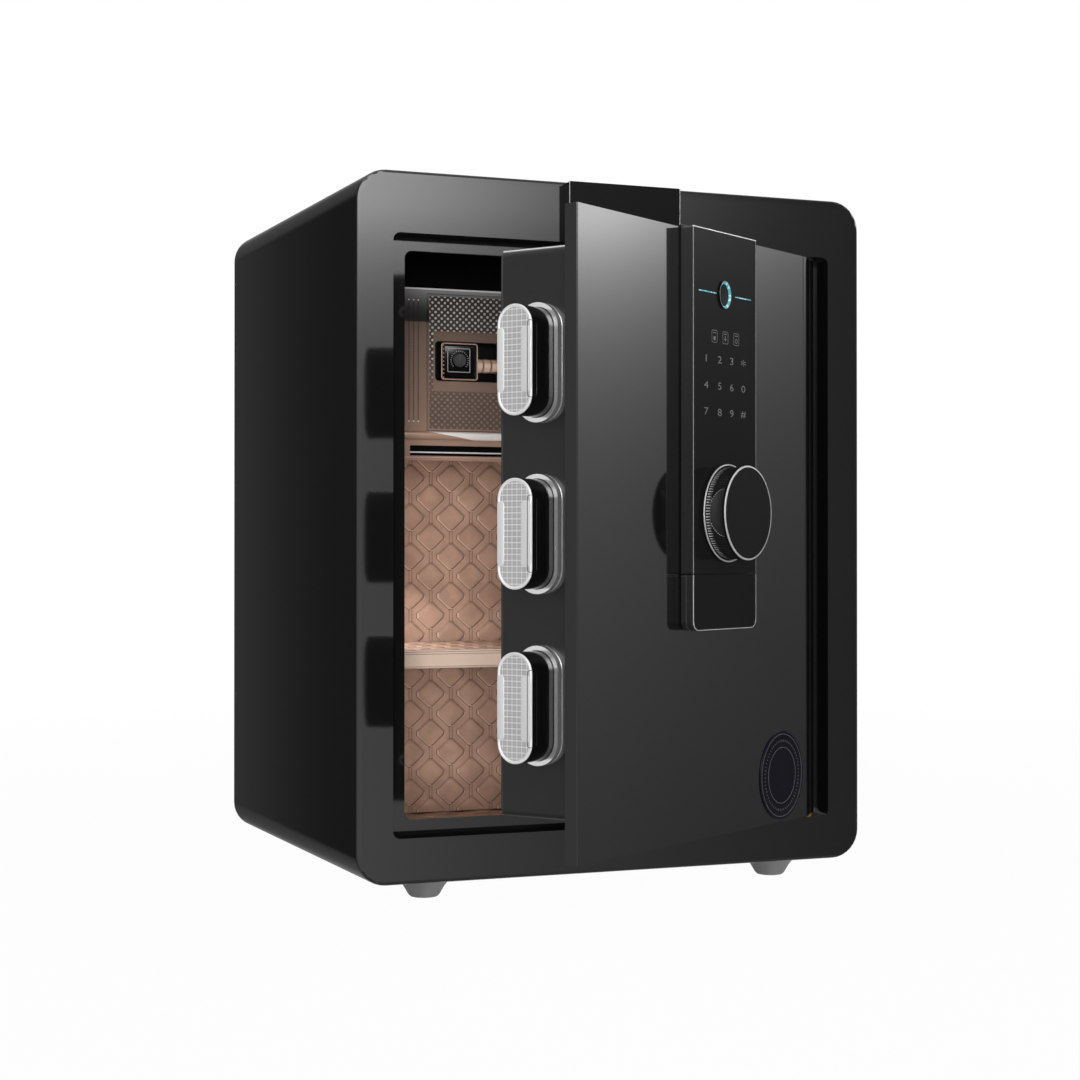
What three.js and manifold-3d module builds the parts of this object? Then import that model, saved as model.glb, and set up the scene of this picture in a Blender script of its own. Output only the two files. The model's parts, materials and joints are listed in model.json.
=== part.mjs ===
// Home safe with a fingerprint panel, a turning knob, three thrown bolts and an inner drawer.
// Millimetres, Z up. X runs from the left side to the right, Y from the front face to the back.
import * as THREE from 'three';
import Module from 'manifold-3d';
import { mergeVertices } from 'three/addons/utils/BufferGeometryUtils.js';

const wasm = await Module();
wasm.setup();

// Counts of straight steps that stand for round shapes
const steps = {
  cornerSteps: 4,
  domeSteps: 6,
  fineSteps: 24,
  roundSteps: 14,
  smallSteps: 8,
  edgeSteps: 2,
  turnSteps: 36,
  ballSteps: 32,
  toothCount: 132,
};

// How near two corners are that count as one
const weld = 1e-4;

// Clearances, and how far a cut runs past what it cuts
const fit = { seam: 0.3, slide: 0.4, running: 0.08, overrun: 1, flush: 0.2 };

// Outer body
const body = { width: 360, depth: 316, height: 450, corner: 19.5, skin: 2.5, edge: 1.8 };

// Rebate that the door closes into
const border = { left: 23.9, right: 23.8, top: 39.1, bottom: 29 };
const rebate = {
  depth: 17.5,
  sheet: 2.5,
  corner: 4.8,
  lipSide: 13.4,
  lipTop: 8.7,
  lipBottom: 9.6,
  lipCorner: 5,
};
const recess = {
  left: border.left,
  right: body.width - border.right,
  bottom: border.bottom,
  top: body.height - border.top,
};
const mouth = {
  left: recess.left + rebate.lipSide,
  right: recess.right - rebate.lipSide,
  bottom: recess.bottom + rebate.lipBottom,
  top: recess.top - rebate.lipTop,
};
const rebateBack = rebate.depth + rebate.sheet;

// Back plate and linings
const back = { sheet: 2.5 };
const lining = { sleeve: 3, pad: 12.5 };
const backFace = body.depth;
const padBack = backFace - back.sheet;
const padFront = padBack - lining.pad;
const inside = {
  left: body.skin + lining.sleeve + fit.seam,
  right: body.width - body.skin - lining.sleeve - fit.seam,
};

// Shelf and its brackets
const shelf = { front: 140.5, top: 140.3, thick: 12.7, trim: 2 };
const bracket = { wide: 12, tall: 14, sheet: 2, setback: 12 };

// Drawer module above the shelf
const module = { front: 140.5, drop: 54.9, tall: 121.4, sheet: 2.5, baseRise: 13.3, base: 2 };
const moduleTop = body.height - module.drop;
const moduleBottom = moduleTop - module.tall;
const bay = { side: 95, rise: 20.9, drop: 3.8, wall: 2, boxOut: 7 };
const slot = { side: 82.4, rise: 3.5, tall: 7.1 };
const ledge = { rise: 14.7, tall: 5.9, out: 3.2, crown: 1.4 };
const runner = { leg: 2, reach: 13, tall: 17, ledge: 2 };
const drawer = {
  gap: 0.3,
  sheet: 2.5,
  tray: 1.6,
  trayInset: 2.8,
  trayRise: 2.6,
  trayDrop: 6,
  rearGap: 8.7,
};
const weave = { inset: 1.5, thick: 0.6 };
const band = { side: 99.5, rise: 49, tall: 42.4 };
const window = { side: 101, rise: 56.4, tall: 27.9, corner: 3 };

// Heights of the openings in the drawer module
const bayBottom = moduleBottom + bay.rise;
const bayTop = moduleTop - bay.drop;
const slotBottom = moduleBottom + slot.rise;
const ledgeBottom = moduleBottom + ledge.rise;
const bandBottom = moduleBottom + band.rise;
const windowBottom = moduleBottom + window.rise;
const windowTop = windowBottom + window.tall;

// Small code lock in the drawer front
const lockCase = { margin: 1, depth: 15, recess: 6.5, cheek: 3 };
const lockBlock = { inset: 4.4, wide: 27.4, rim: 1.6, pocket: 1.2, proud: 0.5, gap: 0.9, corner: 1.5 };
const lockTurn = { radius: 5.8, thick: 2.2, shaft: 1.5, shaftLength: 7, grip: 2.4, gripProud: 1.6 };
const blockLeft = window.side + lockBlock.inset;
const wheel = {
  count: 3,
  radius: 5,
  wide: 4.7,
  pitch: 6,
  sides: 10,
  bore: 1.15,
  axle: 1.05,
  sink: 4.7,
  drop: 2,
};

// Strip on the body above the door, feet
const badge = { shift: 0.3, wide: 79.5, thick: 8.5, drop: 0.7, corner: 1.2 };
const foot = { tall: 12.6, top: 18.4, bottom: 8.6, side: 54, front: 28, rear: 28 };

// Door and its pivot
const door = {
  gap: 1.8,
  freeGap: 5.1,
  hingeGap: 16.7,
  inset: 1,
  plate: 8.65,
  edge: 0.8,
  hingeRound: 20,
  hingeFlat: 0.8,
  open: THREE.MathUtils.degToRad(32.7),
};
const pivot = { fromWall: 9.9, depth: 12.1 };
const barrel = { radius: 4.6, bore: 2.6, boreDepth: 12, clear: 0.3, boxGap: 1 };
const pin = { radius: 2.52, head: 5, headThick: 1.5, length: 10.5 };
const doorBox = { inset: 16, drop: 21.2, rise: 22.2, depth: 55.75, wall: 2, flange: 10, corner: 4 };
const cover = { sheet: 1.2 };
const doorBottom = recess.bottom + door.gap;
const doorTop = recess.top - door.gap;
const doorWidth = recess.right - recess.left - door.freeGap - door.hingeGap;
const doorMiddle = (doorBottom + doorTop) / 2;
const boxBack = door.plate + doorBox.depth;
const boxEdge = {
  left: doorBox.inset,
  right: doorWidth - doorBox.inset,
  bottom: doorBottom + doorBox.rise,
  top: doorTop - doorBox.drop,
};

// Control panel, key cover and fingerprint sensor
const panel = { shift: 5.55, wide: 77.6, thick: 9.7, glass: 1, corner: 1.2, bottomCorner: 6 };
const keyCover = { underKnob: 38.1, tall: 34.4, thick: 5.5, gap: 0.25 };
const keyCylinder = { radius: 7, length: 24, key: 1, keyTall: 8, keyDeep: 6 };
const sensor = { drop: 39.1, outer: 8.7, inner: 6.6, proud: 0.6, lens: 0.3 };
const panelCentre = doorWidth / 2 + panel.shift;
const sensorRise = doorTop - sensor.drop;

// Knob, shaft and cam
const knob = {
  lift: 13.75,
  grip: 28.6,
  tooth: 0.55,
  base: 11,
  gripLength: 13.3,
  cap: 29.3,
  capThick: 2,
  capEdge: 0.7,
  scoop: 40,
  scoopOut: 64.6,
  scoopFront: 34,
};
const ring = { outer: 30.3, inner: 29.4, floor: 0.9, tall: 2.6, bore: 8 };
const shaft = { radius: 5, cam: 4, camFront: 24.5, camArm: 20, camRound: 7, pin: 3, pinLength: 8 };
const knobRise = doorMiddle + knob.lift;
const keyTop = knobRise - keyCover.underKnob;
const keyBottom = keyTop - keyCover.tall;
const keyMiddle = (keyBottom + keyTop) / 2;

// Bolts, collars and their carriage
const bolt = { front: 21.7, thick: 23.8, tall: 64, out: 30.3, inside: 26, rim: 1.6 };
const boltShares = [-0.26408, 0, 0.26408];
const boltCentres = boltShares.map((share) => doorMiddle + share * (doorTop - doorBottom));
const boltFace = { pocket: 0.6, rib: 4.8, ribTall: 37 };
const collar = { rim: 3, bore: 0.4, long: 8.6, groove: 1, grooveDeep: 0.8 };
const carriage = { thick: 5, wide: 15, over: 25, arm: 3, armGap: 2.5, armLift: 4, armTall: 26, armEnd: 9 };
const armFront = shaft.camFront + shaft.cam + carriage.armGap;
const camSlot = { play: 0.9 };

// Electronics in the door box
const board = {
  shift: 4.25,
  wide: 65,
  drop: 19.95,
  tall: 100,
  thick: 1.6,
  post: 3.4,
  postRadius: 2.5,
  edge: 6,
};
const cell = { count: 4, radius: 7.1, long: 50.4, gap: 1 };
const holder = { hingeGap: 33.1, rise: 47, wall: 1.6, deep: 17 };
const solenoid = { shift: 0.2, wide: 26, lift: 46.3, tall: 30, deep: 19.4, bore: 3.1 };
const solenoidRight = panelCentre + solenoid.shift + solenoid.wide / 2;
const plunger = { radius: 3, length: 26, inside: 12 };
const button = { side: 44, rise: 37, radius: 4, bore: 4.2, body: 7, bodyDeep: 6.4, stem: 2.1, proud: 2 };
const buttonAcross = boxEdge.left + button.side;
const buttonRise = boxEdge.bottom + button.rise;

// Finishes: colour, roughness and metalness
const finishes = {
  blackPaint: [0x1b1c1e, 0.18, 0.1],
  glossBlack: [0x101113, 0.08, 0],
  chrome: [0xd8dadd, 0.12, 1],
  steel: [0xb4b6b8, 0.35, 1],
  roseGold: [0xb78f78, 0.32, 0.8],
  quilt: [0xa98571, 0.55, 0.1],
  darkPlastic: [0x17181a, 0.5, 0],
  board: [0x1d5a34, 0.6, 0],
  cell: [0x2f5f9c, 0.4, 0.2],
  red: [0xb32222, 0.4, 0],
};

function finish(name) {
  const [color, roughness, metalness] = finishes[name];
  return new THREE.MeshStandardMaterial({ color, roughness, metalness });
}

// Builds one named piece and hangs it on its group
function add(parent, name, finishName, geometry) {
  const mesh = new THREE.Mesh(geometry, finish(finishName));
  mesh.name = name;
  parent.add(mesh);
  return mesh;
}

// Outlines in a plane: u across, v up
function rounded(u0, v0, u1, v1, radius, lowerRadius = radius) {
  const shape = new THREE.Shape();
  shape.moveTo(u0 + lowerRadius, v0);
  shape.lineTo(u1 - lowerRadius, v0);
  shape.absarc(u1 - lowerRadius, v0 + lowerRadius, lowerRadius, -Math.PI / 2, 0, false);
  shape.lineTo(u1, v1 - radius);
  shape.absarc(u1 - radius, v1 - radius, radius, 0, Math.PI / 2, false);
  shape.lineTo(u0 + radius, v1);
  shape.absarc(u0 + radius, v1 - radius, radius, Math.PI / 2, Math.PI, false);
  shape.lineTo(u0, v0 + lowerRadius);
  shape.absarc(u0 + lowerRadius, v0 + lowerRadius, lowerRadius, Math.PI, Math.PI * 1.5, false);
  return shape;
}

function disc(u, v, radius) {
  const shape = new THREE.Shape();
  shape.absarc(u, v, radius, 0, Math.PI * 2, false);
  return shape;
}

// Upright outline with round ends
function stadium(u0, u1, centre, tall) {
  const radius = (u1 - u0) / 2;
  return rounded(u0, centre - tall / 2, u1, centre + tall / 2, radius);
}

function toothed(u, v, radius, tooth, count) {
  const shape = new THREE.Shape();
  const points = [];
  for (let index = 0; index < count * 2; index += 1) {
    const turn = (index * Math.PI) / count;
    const reach = radius - (index % 2) * tooth;
    points.push(new THREE.Vector2(u + reach * Math.cos(turn), v + reach * Math.sin(turn)));
  }
  shape.setFromPoints(points);
  return shape;
}

// Solids pushed along one axis from low to high
function push(shape, length, curveSegments) {
  return new THREE.ExtrudeGeometry(shape, { depth: length, bevelEnabled: false, curveSegments, steps: 1 });
}

function alongY(shape, low, high, curveSegments = steps.cornerSteps) {
  const geometry = push(shape, high - low, curveSegments);
  geometry.rotateX(Math.PI / 2);
  geometry.translate(0, high, 0);
  return geometry;
}

function alongZ(shape, low, high, curveSegments = steps.cornerSteps) {
  const geometry = push(shape, high - low, curveSegments);
  geometry.translate(0, 0, low);
  return geometry;
}

// The outline's u runs along Y and its v along Z
function alongX(shape, low, high, curveSegments = steps.cornerSteps) {
  const geometry = push(shape, high - low, curveSegments);
  const axes = new THREE.Matrix4().makeBasis(
    new THREE.Vector3(0, 1, 0),
    new THREE.Vector3(0, 0, 1),
    new THREE.Vector3(1, 0, 0),
  );
  geometry.applyMatrix4(axes);
  geometry.translate(low, 0, 0);
  return geometry;
}

function box(x0, x1, y0, y1, z0, z1) {
  const geometry = new THREE.BoxGeometry(x1 - x0, y1 - y0, z1 - z0);
  geometry.translate((x0 + x1) / 2, (y0 + y1) / 2, (z0 + z1) / 2);
  return geometry;
}

// Round bar along Y
function rodY(x, z, radius, low, high, sides = steps.roundSteps) {
  return alongY(disc(x, z, radius), low, high, sides);
}

// Joins and cuts
function toManifold(geometry) {
  const clean = geometry.clone();
  clean.deleteAttribute('normal');
  clean.deleteAttribute('uv');
  const merged = mergeVertices(clean, weld);
  return new wasm.Manifold(
    new wasm.Mesh({
      numProp: 3,
      vertProperties: new Float32Array(merged.attributes.position.array),
      triVerts: new Uint32Array(merged.index.array),
    }),
  );
}

function fromManifold(solid) {
  const mesh = solid.getMesh();
  const geometry = new THREE.BufferGeometry();
  const count = mesh.vertProperties.length / mesh.numProp;
  const points = new Float32Array(count * 3);
  for (let index = 0; index < count; index += 1) {
    for (let axis = 0; axis < 3; axis += 1) {
      points[index * 3 + axis] = mesh.vertProperties[index * mesh.numProp + axis];
    }
  }
  geometry.setAttribute('position', new THREE.BufferAttribute(points, 3));
  geometry.setIndex(new THREE.BufferAttribute(new Uint32Array(mesh.triVerts), 1));
  geometry.computeVertexNormals();
  return geometry;
}

function cut(whole, ...tools) {
  const solid = tools.reduce((left, tool) => left.subtract(toManifold(tool)), toManifold(whole));
  return fromManifold(solid);
}

function join(first, ...others) {
  const solid = others.reduce((sum, piece) => sum.add(toManifold(piece)), toManifold(first));
  return fromManifold(solid);
}

// The rebate's outline, grown by a sheet where its outside is meant
function recessOutline(grow) {
  return rounded(
    recess.left - grow,
    recess.bottom - grow,
    recess.right + grow,
    recess.top + grow,
    rebate.corner + grow,
  );
}

// Outer body: one wrapped sheet with a front border, closed by a back plate
function outerShell() {
  const inset = body.edge;
  const outline = rounded(inset, inset, body.width - inset, body.height - inset, body.corner - inset);
  const block = new THREE.ExtrudeGeometry(outline, {
    depth: body.depth - 2 * body.edge,
    bevelEnabled: true,
    bevelThickness: body.edge,
    bevelSize: body.edge,
    bevelSegments: steps.edgeSteps,
    curveSegments: steps.cornerSteps,
  });
  block.rotateX(Math.PI / 2);
  block.translate(0, body.depth - body.edge, 0);
  const skin = body.skin;
  const hollow = alongY(
    rounded(skin, skin, body.width - skin, body.height - skin, body.corner - skin),
    skin,
    body.depth + fit.overrun,
  );
  const doorway = alongY(recessOutline(0), -fit.overrun, skin + fit.overrun);
  return cut(block, hollow, doorway);
}

// Deep folded frame with the lip that the bolts lock behind
function rebateFrame() {
  const outer = alongY(recessOutline(rebate.sheet), body.skin, rebateBack);
  const pocket = alongY(recessOutline(0), 0, rebate.depth);
  const opening = alongY(
    rounded(mouth.left, mouth.bottom, mouth.right, mouth.top, rebate.lipCorner),
    0,
    rebateBack + fit.overrun,
  );
  return cut(outer, pocket, opening);
}

function backPlate() {
  const skin = body.skin;
  const outline = rounded(skin, skin, body.width - skin, body.height - skin, body.corner - skin);
  return alongY(outline, padBack, backFace);
}

function liningSleeve() {
  const skin = body.skin;
  const inner = skin + lining.sleeve;
  const outer = alongY(
    rounded(skin, skin, body.width - skin, body.height - skin, body.corner - skin),
    rebateBack + fit.seam,
    padBack,
  );
  const hollow = alongY(
    rounded(inner, inner, body.width - inner, body.height - inner, body.corner - inner),
    rebateBack,
    body.depth,
  );
  return cut(outer, hollow);
}

function liningBack() {
  const edge = body.skin + lining.sleeve + fit.seam;
  const outline = rounded(edge, edge, body.width - edge, body.height - edge, body.corner - edge);
  return alongY(outline, padFront, padBack);
}

function buildBody(safe) {
  add(safe, 'outer_shell', 'blackPaint', outerShell());
  add(safe, 'rebate_frame', 'blackPaint', rebateFrame());
  add(safe, 'back_plate', 'blackPaint', backPlate());
  add(safe, 'lining_sleeve', 'quilt', liningSleeve());
  add(safe, 'lining_back', 'quilt', liningBack());
}

// Shelf: a padded board with a metal front trim on two angle brackets
function buildShelf(safe) {
  const low = shelf.top - shelf.thick;
  const boardFront = shelf.front + shelf.trim;
  const rear = padFront - fit.seam;
  add(safe, 'shelf', 'quilt', box(inside.left, inside.right, boardFront, rear, low, shelf.top));
  add(
    safe,
    'shelf_trim',
    'roseGold',
    box(inside.left, inside.right, shelf.front, boardFront, low, shelf.top),
  );
  const wall = inside.left - fit.seam;
  const angle = new THREE.Shape();
  angle.moveTo(wall, low);
  angle.lineTo(wall, low - bracket.tall);
  angle.lineTo(wall + bracket.sheet, low - bracket.tall);
  angle.lineTo(wall + bracket.sheet, low - bracket.sheet);
  angle.lineTo(wall + bracket.wide, low - bracket.sheet);
  angle.lineTo(wall + bracket.wide, low);
  angle.closePath();
  const front = boardFront + bracket.setback;
  const left = alongY(angle, front, rear - bracket.setback);
  const right = left.clone();
  right.rotateZ(Math.PI);
  right.translate(body.width, front + rear - bracket.setback, 0);
  add(safe, 'shelf_bracket_left', 'steel', left);
  add(safe, 'shelf_bracket_right', 'steel', right);
}

// Drawer module: a fascia across the safe, and a box behind it with the drawer's runners
function lockerBox() {
  const rear = padFront - fit.seam;
  const front = module.front + module.sheet;
  const baseTop = moduleBottom + module.baseRise + module.base;
  const low = baseTop - module.base;
  const base = box(inside.left, inside.right, front, rear, low, baseTop);
  const left = bay.side - bay.boxOut;
  const right = body.width - left;
  const outer = box(left, right, front, rear, low, moduleTop - fit.seam);
  const hollow = box(
    left + bay.wall,
    right - bay.wall,
    front - fit.overrun,
    rear - bay.wall,
    baseTop,
    moduleTop - fit.seam - bay.wall,
  );
  const solid = fromManifold(toManifold(join(base, outer)).subtract(toManifold(hollow)));
  const legLeft = left + bay.wall;
  const trayLow = bayBottom + drawer.gap + drawer.trayRise;
  const rail = new THREE.Shape();
  rail.moveTo(legLeft - bay.wall / 2, baseTop - module.base / 2);
  rail.lineTo(legLeft + runner.leg, baseTop - module.base / 2);
  rail.lineTo(legLeft + runner.leg, trayLow - fit.seam - runner.ledge);
  rail.lineTo(legLeft + runner.reach, trayLow - fit.seam - runner.ledge);
  rail.lineTo(legLeft + runner.reach, trayLow - fit.seam);
  rail.lineTo(legLeft + runner.leg, trayLow - fit.seam);
  rail.lineTo(legLeft + runner.leg, baseTop + runner.tall);
  rail.lineTo(legLeft - bay.wall / 2, baseTop + runner.tall);
  rail.closePath();
  const railLeft = alongY(rail, front + runner.leg, rear - bay.wall / 2);
  const railRight = railLeft.clone();
  railRight.rotateZ(Math.PI);
  railRight.translate(body.width, front + runner.leg + rear - bay.wall / 2, 0);
  return join(solid, railLeft, railRight);
}

function lockerFascia() {
  const front = module.front;
  const rear = front + module.sheet;
  const plate = box(inside.left, inside.right, front, rear, moduleBottom, moduleTop);
  const bayHole = box(
    bay.side,
    body.width - bay.side,
    front - fit.overrun,
    rear + fit.overrun,
    bayBottom,
    bayTop,
  );
  const slotHole = box(
    slot.side,
    body.width - slot.side,
    front - fit.overrun,
    rear + fit.overrun,
    slotBottom,
    slotBottom + slot.tall,
  );
  return cut(plate, bayHole, slotHole);
}

// Convex bar along the foot of the drawer bay
function ledgeBar() {
  const ledgeTop = ledgeBottom + ledge.tall;
  const middle = (ledgeBottom + ledgeTop) / 2;
  const outline = new THREE.Shape();
  const flat = module.front - ledge.out + ledge.crown;
  outline.moveTo(module.front, ledgeBottom);
  outline.lineTo(module.front, ledgeTop);
  outline.lineTo(flat, ledgeTop);
  outline.quadraticCurveTo(flat - 2 * ledge.crown, middle, flat, ledgeBottom);
  outline.closePath();
  return alongX(outline, inside.left, inside.right);
}

function buildModule(safe) {
  add(safe, 'locker_box', 'steel', lockerBox());
  add(safe, 'locker_fascia', 'roseGold', lockerFascia());
  add(safe, 'ledge_bar', 'roseGold', ledgeBar());
}

// Drawer: tray, front plate, textured panel and the small code lock
const drawerFront = {
  left: bay.side + drawer.gap,
  right: body.width - bay.side - drawer.gap,
  bottom: bayBottom + drawer.gap,
  top: bayTop - drawer.gap,
};
const caseBox = {
  left: window.side - lockCase.margin,
  right: body.width - window.side + lockCase.margin,
  bottom: windowBottom - lockCase.margin,
  top: windowTop + lockCase.margin,
  front: module.front + drawer.sheet,
};

function drawerTray() {
  const left = drawerFront.left + drawer.trayInset;
  const right = drawerFront.right - drawer.trayInset;
  const low = drawerFront.bottom + drawer.trayRise;
  const top = drawerFront.top - drawer.trayDrop;
  const front = caseBox.front;
  const rear = padFront - fit.seam - bay.wall - drawer.rearGap;
  const block = box(left, right, front, rear, low, top);
  const wall = drawer.tray;
  const hollow = box(left + wall, right - wall, front + wall, rear - wall, low + wall, top + fit.overrun);
  const gate = box(
    caseBox.left - fit.seam,
    caseBox.right + fit.seam,
    front - fit.overrun,
    front + wall + fit.overrun,
    caseBox.bottom - fit.seam,
    caseBox.top + fit.seam,
  );
  return cut(block, hollow, gate);
}

function windowCut(front, rear) {
  const outline = rounded(window.side, windowBottom, body.width - window.side, windowTop, window.corner);
  return alongY(outline, front, rear);
}

function drawerPlate() {
  const front = module.front;
  const plate = box(
    drawerFront.left,
    drawerFront.right,
    front,
    caseBox.front,
    drawerFront.bottom,
    drawerFront.top,
  );
  return cut(plate, windowCut(front - fit.overrun, caseBox.front + fit.overrun));
}

function weavePanel() {
  const front = module.front - weave.thick;
  const plate = box(
    drawerFront.left + weave.inset,
    drawerFront.right - weave.inset,
    front,
    module.front,
    drawerFront.bottom + weave.inset,
    drawerFront.top - weave.inset,
  );
  const bandHole = box(
    band.side,
    body.width - band.side,
    front - fit.overrun,
    module.front + fit.overrun,
    bandBottom,
    bandBottom + band.tall,
  );
  return cut(plate, bandHole);
}

// The code wheels stand in a pocket between the lock block and a cheek
const wheelRow = {
  first: blockLeft + lockBlock.wide + fit.seam + wheel.wide / 2,
  centre: module.front + drawer.sheet + wheel.sink,
  rise: (windowBottom + windowTop) / 2 - wheel.drop,
};
const wheelEnd = wheelRow.first + wheel.pitch * (wheel.count - 1) + wheel.wide / 2 + fit.seam;

function lockCaseBody() {
  const front = caseBox.front;
  const floor = front + lockCase.recess;
  const block = box(
    caseBox.left,
    caseBox.right,
    front,
    front + lockCase.depth,
    caseBox.bottom,
    caseBox.top,
  );
  const recessLeft = box(
    window.side,
    wheelEnd,
    front - fit.overrun,
    floor,
    windowBottom,
    windowTop,
  );
  const recessRight = box(
    wheelEnd + lockCase.cheek,
    body.width - window.side,
    front - fit.overrun,
    floor,
    windowBottom,
    windowTop,
  );
  const reach = wheel.radius + fit.slide;
  const pocket = box(
    blockLeft + lockBlock.wide,
    wheelEnd,
    floor - fit.overrun,
    wheelRow.centre + reach,
    wheelRow.rise - reach,
    wheelRow.rise + reach,
  );
  return cut(block, recessLeft, recessRight, pocket);
}

const turnCentre = {
  x: blockLeft + lockBlock.wide / 2,
  z: (windowBottom + windowTop) / 2 + lockBlock.gap,
};

function lockBlockBody() {
  const left = blockLeft;
  const right = left + lockBlock.wide;
  const low = windowBottom + lockBlock.gap;
  const high = windowTop - lockBlock.gap;
  const front = module.front - lockBlock.proud;
  const rear = caseBox.front + lockCase.recess;
  const rim = lockBlock.rim;
  const block = alongY(rounded(left, low, right, high, lockBlock.corner), front, rear, steps.edgeSteps);
  const pocket = box(
    left + rim,
    right - rim,
    front - fit.overrun,
    front + lockBlock.pocket,
    low + rim,
    high - rim,
  );
  const bore = rodY(
    turnCentre.x,
    turnCentre.z,
    lockTurn.shaft + fit.running,
    front,
    front + lockBlock.pocket + lockTurn.shaftLength + fit.seam,
    steps.smallSteps,
  );
  return cut(block, pocket, bore);
}

function lockTurnBody() {
  const seat = module.front - lockBlock.proud + lockBlock.pocket - fit.flush;
  const face = seat - lockTurn.thick;
  const dial = rodY(turnCentre.x, turnCentre.z, lockTurn.radius, face, seat, steps.smallSteps);
  const stem = rodY(
    turnCentre.x,
    turnCentre.z,
    lockTurn.shaft,
    face,
    seat + lockTurn.shaftLength,
    steps.smallSteps,
  );
  const bar = box(
    turnCentre.x - lockTurn.grip / 2,
    turnCentre.x + lockTurn.grip / 2,
    face - lockTurn.gripProud,
    seat,
    turnCentre.z - lockTurn.radius + fit.slide,
    turnCentre.z + lockTurn.radius - fit.slide,
  );
  return join(dial, stem, bar);
}

function codeWheel(index) {
  const middle = wheelRow.first + index * wheel.pitch;
  const outline = new THREE.Shape();
  const corners = [];
  for (let side = 0; side < wheel.sides; side += 1) {
    const turn = ((side + 0.5) * 2 * Math.PI) / wheel.sides;
    corners.push(
      new THREE.Vector2(
        wheelRow.centre + wheel.radius * Math.cos(turn),
        wheelRow.rise + wheel.radius * Math.sin(turn),
      ),
    );
  }
  outline.setFromPoints(corners);
  const hole = new THREE.Path();
  hole.absarc(wheelRow.centre, wheelRow.rise, wheel.bore, 0, Math.PI * 2, true);
  outline.holes.push(hole);
  return alongX(outline, middle - wheel.wide / 2, middle + wheel.wide / 2, steps.smallSteps);
}

function buildDrawer(safe) {
  add(safe, 'drawer_tray', 'steel', drawerTray());
  add(safe, 'drawer_front', 'roseGold', drawerPlate());
  add(safe, 'weave_panel', 'roseGold', weavePanel());
  add(safe, 'lock_case', 'darkPlastic', lockCaseBody());
  add(safe, 'lock_block', 'roseGold', lockBlockBody());
  add(safe, 'lock_turn', 'steel', lockTurnBody());
  for (let index = 0; index < wheel.count; index += 1) {
    add(safe, `code_wheel_${index + 1}`, 'roseGold', codeWheel(index));
  }
  const axle = alongX(
    disc(wheelRow.centre, wheelRow.rise, wheel.axle),
    blockLeft + lockBlock.wide,
    wheelEnd,
    steps.smallSteps,
  );
  add(safe, 'wheel_axle', 'steel', axle);
}

// Strip above the door, feet and hinge pins
function buildTrim(safe) {
  const left = body.width / 2 + badge.shift - badge.wide / 2;
  const strip = rounded(left, recess.top, left + badge.wide, body.height - badge.drop, badge.corner);
  add(safe, 'badge_strip', 'glossBlack', alongY(strip, -badge.thick, 0, steps.edgeSteps));

  const profile = new THREE.Shape();
  profile.moveTo(0, -foot.tall);
  profile.lineTo(foot.bottom, -foot.tall);
  profile.quadraticCurveTo(foot.top, -foot.tall, foot.top, 0);
  profile.lineTo(0, 0);
  const points = profile.getPoints(steps.domeSteps);
  const places = [
    ['foot_front_left', foot.side, foot.front],
    ['foot_front_right', body.width - foot.side, foot.front],
    ['foot_rear_left', foot.side, body.depth - foot.rear],
    ['foot_rear_right', body.width - foot.side, body.depth - foot.rear],
  ];
  for (const [name, x, y] of places) {
    const turned = new THREE.LatheGeometry(points, steps.turnSteps);
    turned.rotateX(Math.PI / 2);
    turned.translate(x, y, 0);
    add(safe, name, 'chrome', turned);
  }

  const axis = { x: recess.right - pivot.fromWall, y: pivot.depth };
  const head = disc(axis.x, axis.y, pin.head);
  const stem = disc(axis.x, axis.y, pin.radius);
  const top = recess.top;
  const low = recess.bottom;
  const upper = join(
    alongZ(head, top - pin.headThick, top, steps.roundSteps),
    alongZ(stem, top - pin.headThick - pin.length, top, steps.roundSteps),
  );
  const lower = join(
    alongZ(head, low, low + pin.headThick, steps.roundSteps),
    alongZ(stem, low, low + pin.headThick + pin.length, steps.roundSteps),
  );
  add(safe, 'hinge_pin_top', 'steel', upper);
  add(safe, 'hinge_pin_bottom', 'steel', lower);
}

// Door pieces are drawn from the door's free edge (x), its front face (y) and the safe's underside (z)
const doorAxis = {
  x: recess.right - pivot.fromWall - recess.left - door.freeGap,
  y: pivot.depth - door.inset,
};

function doorPlate() {
  const outline = new THREE.Shape();
  const edge = door.edge;
  const roundStart = doorWidth - door.hingeRound;
  const roundDepth = door.plate - door.hingeFlat;
  outline.moveTo(0, edge);
  outline.absarc(edge, edge, edge, Math.PI, Math.PI * 1.5, false);
  outline.lineTo(roundStart, 0);
  outline.absellipse(roundStart, roundDepth, door.hingeRound, roundDepth, -Math.PI / 2, 0, false, 0);
  outline.lineTo(doorWidth, door.plate);
  outline.lineTo(0, door.plate);
  outline.closePath();
  const plate = alongZ(outline, doorBottom, doorTop);
  const shaftHole = rodY(
    panelCentre,
    knobRise,
    shaft.radius + fit.running,
    -fit.overrun,
    door.plate + fit.overrun,
  );
  const keyHole = rodY(
    panelCentre,
    keyMiddle,
    keyCylinder.radius + fit.running,
    -fit.overrun,
    door.plate + fit.overrun,
  );
  return cut(plate, shaftHole, keyHole);
}

function boltOutline(centre, grow) {
  const low = bolt.front - grow;
  const high = bolt.front + bolt.thick + grow;
  return stadium(low, high, centre, bolt.tall + 2 * grow);
}

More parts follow.
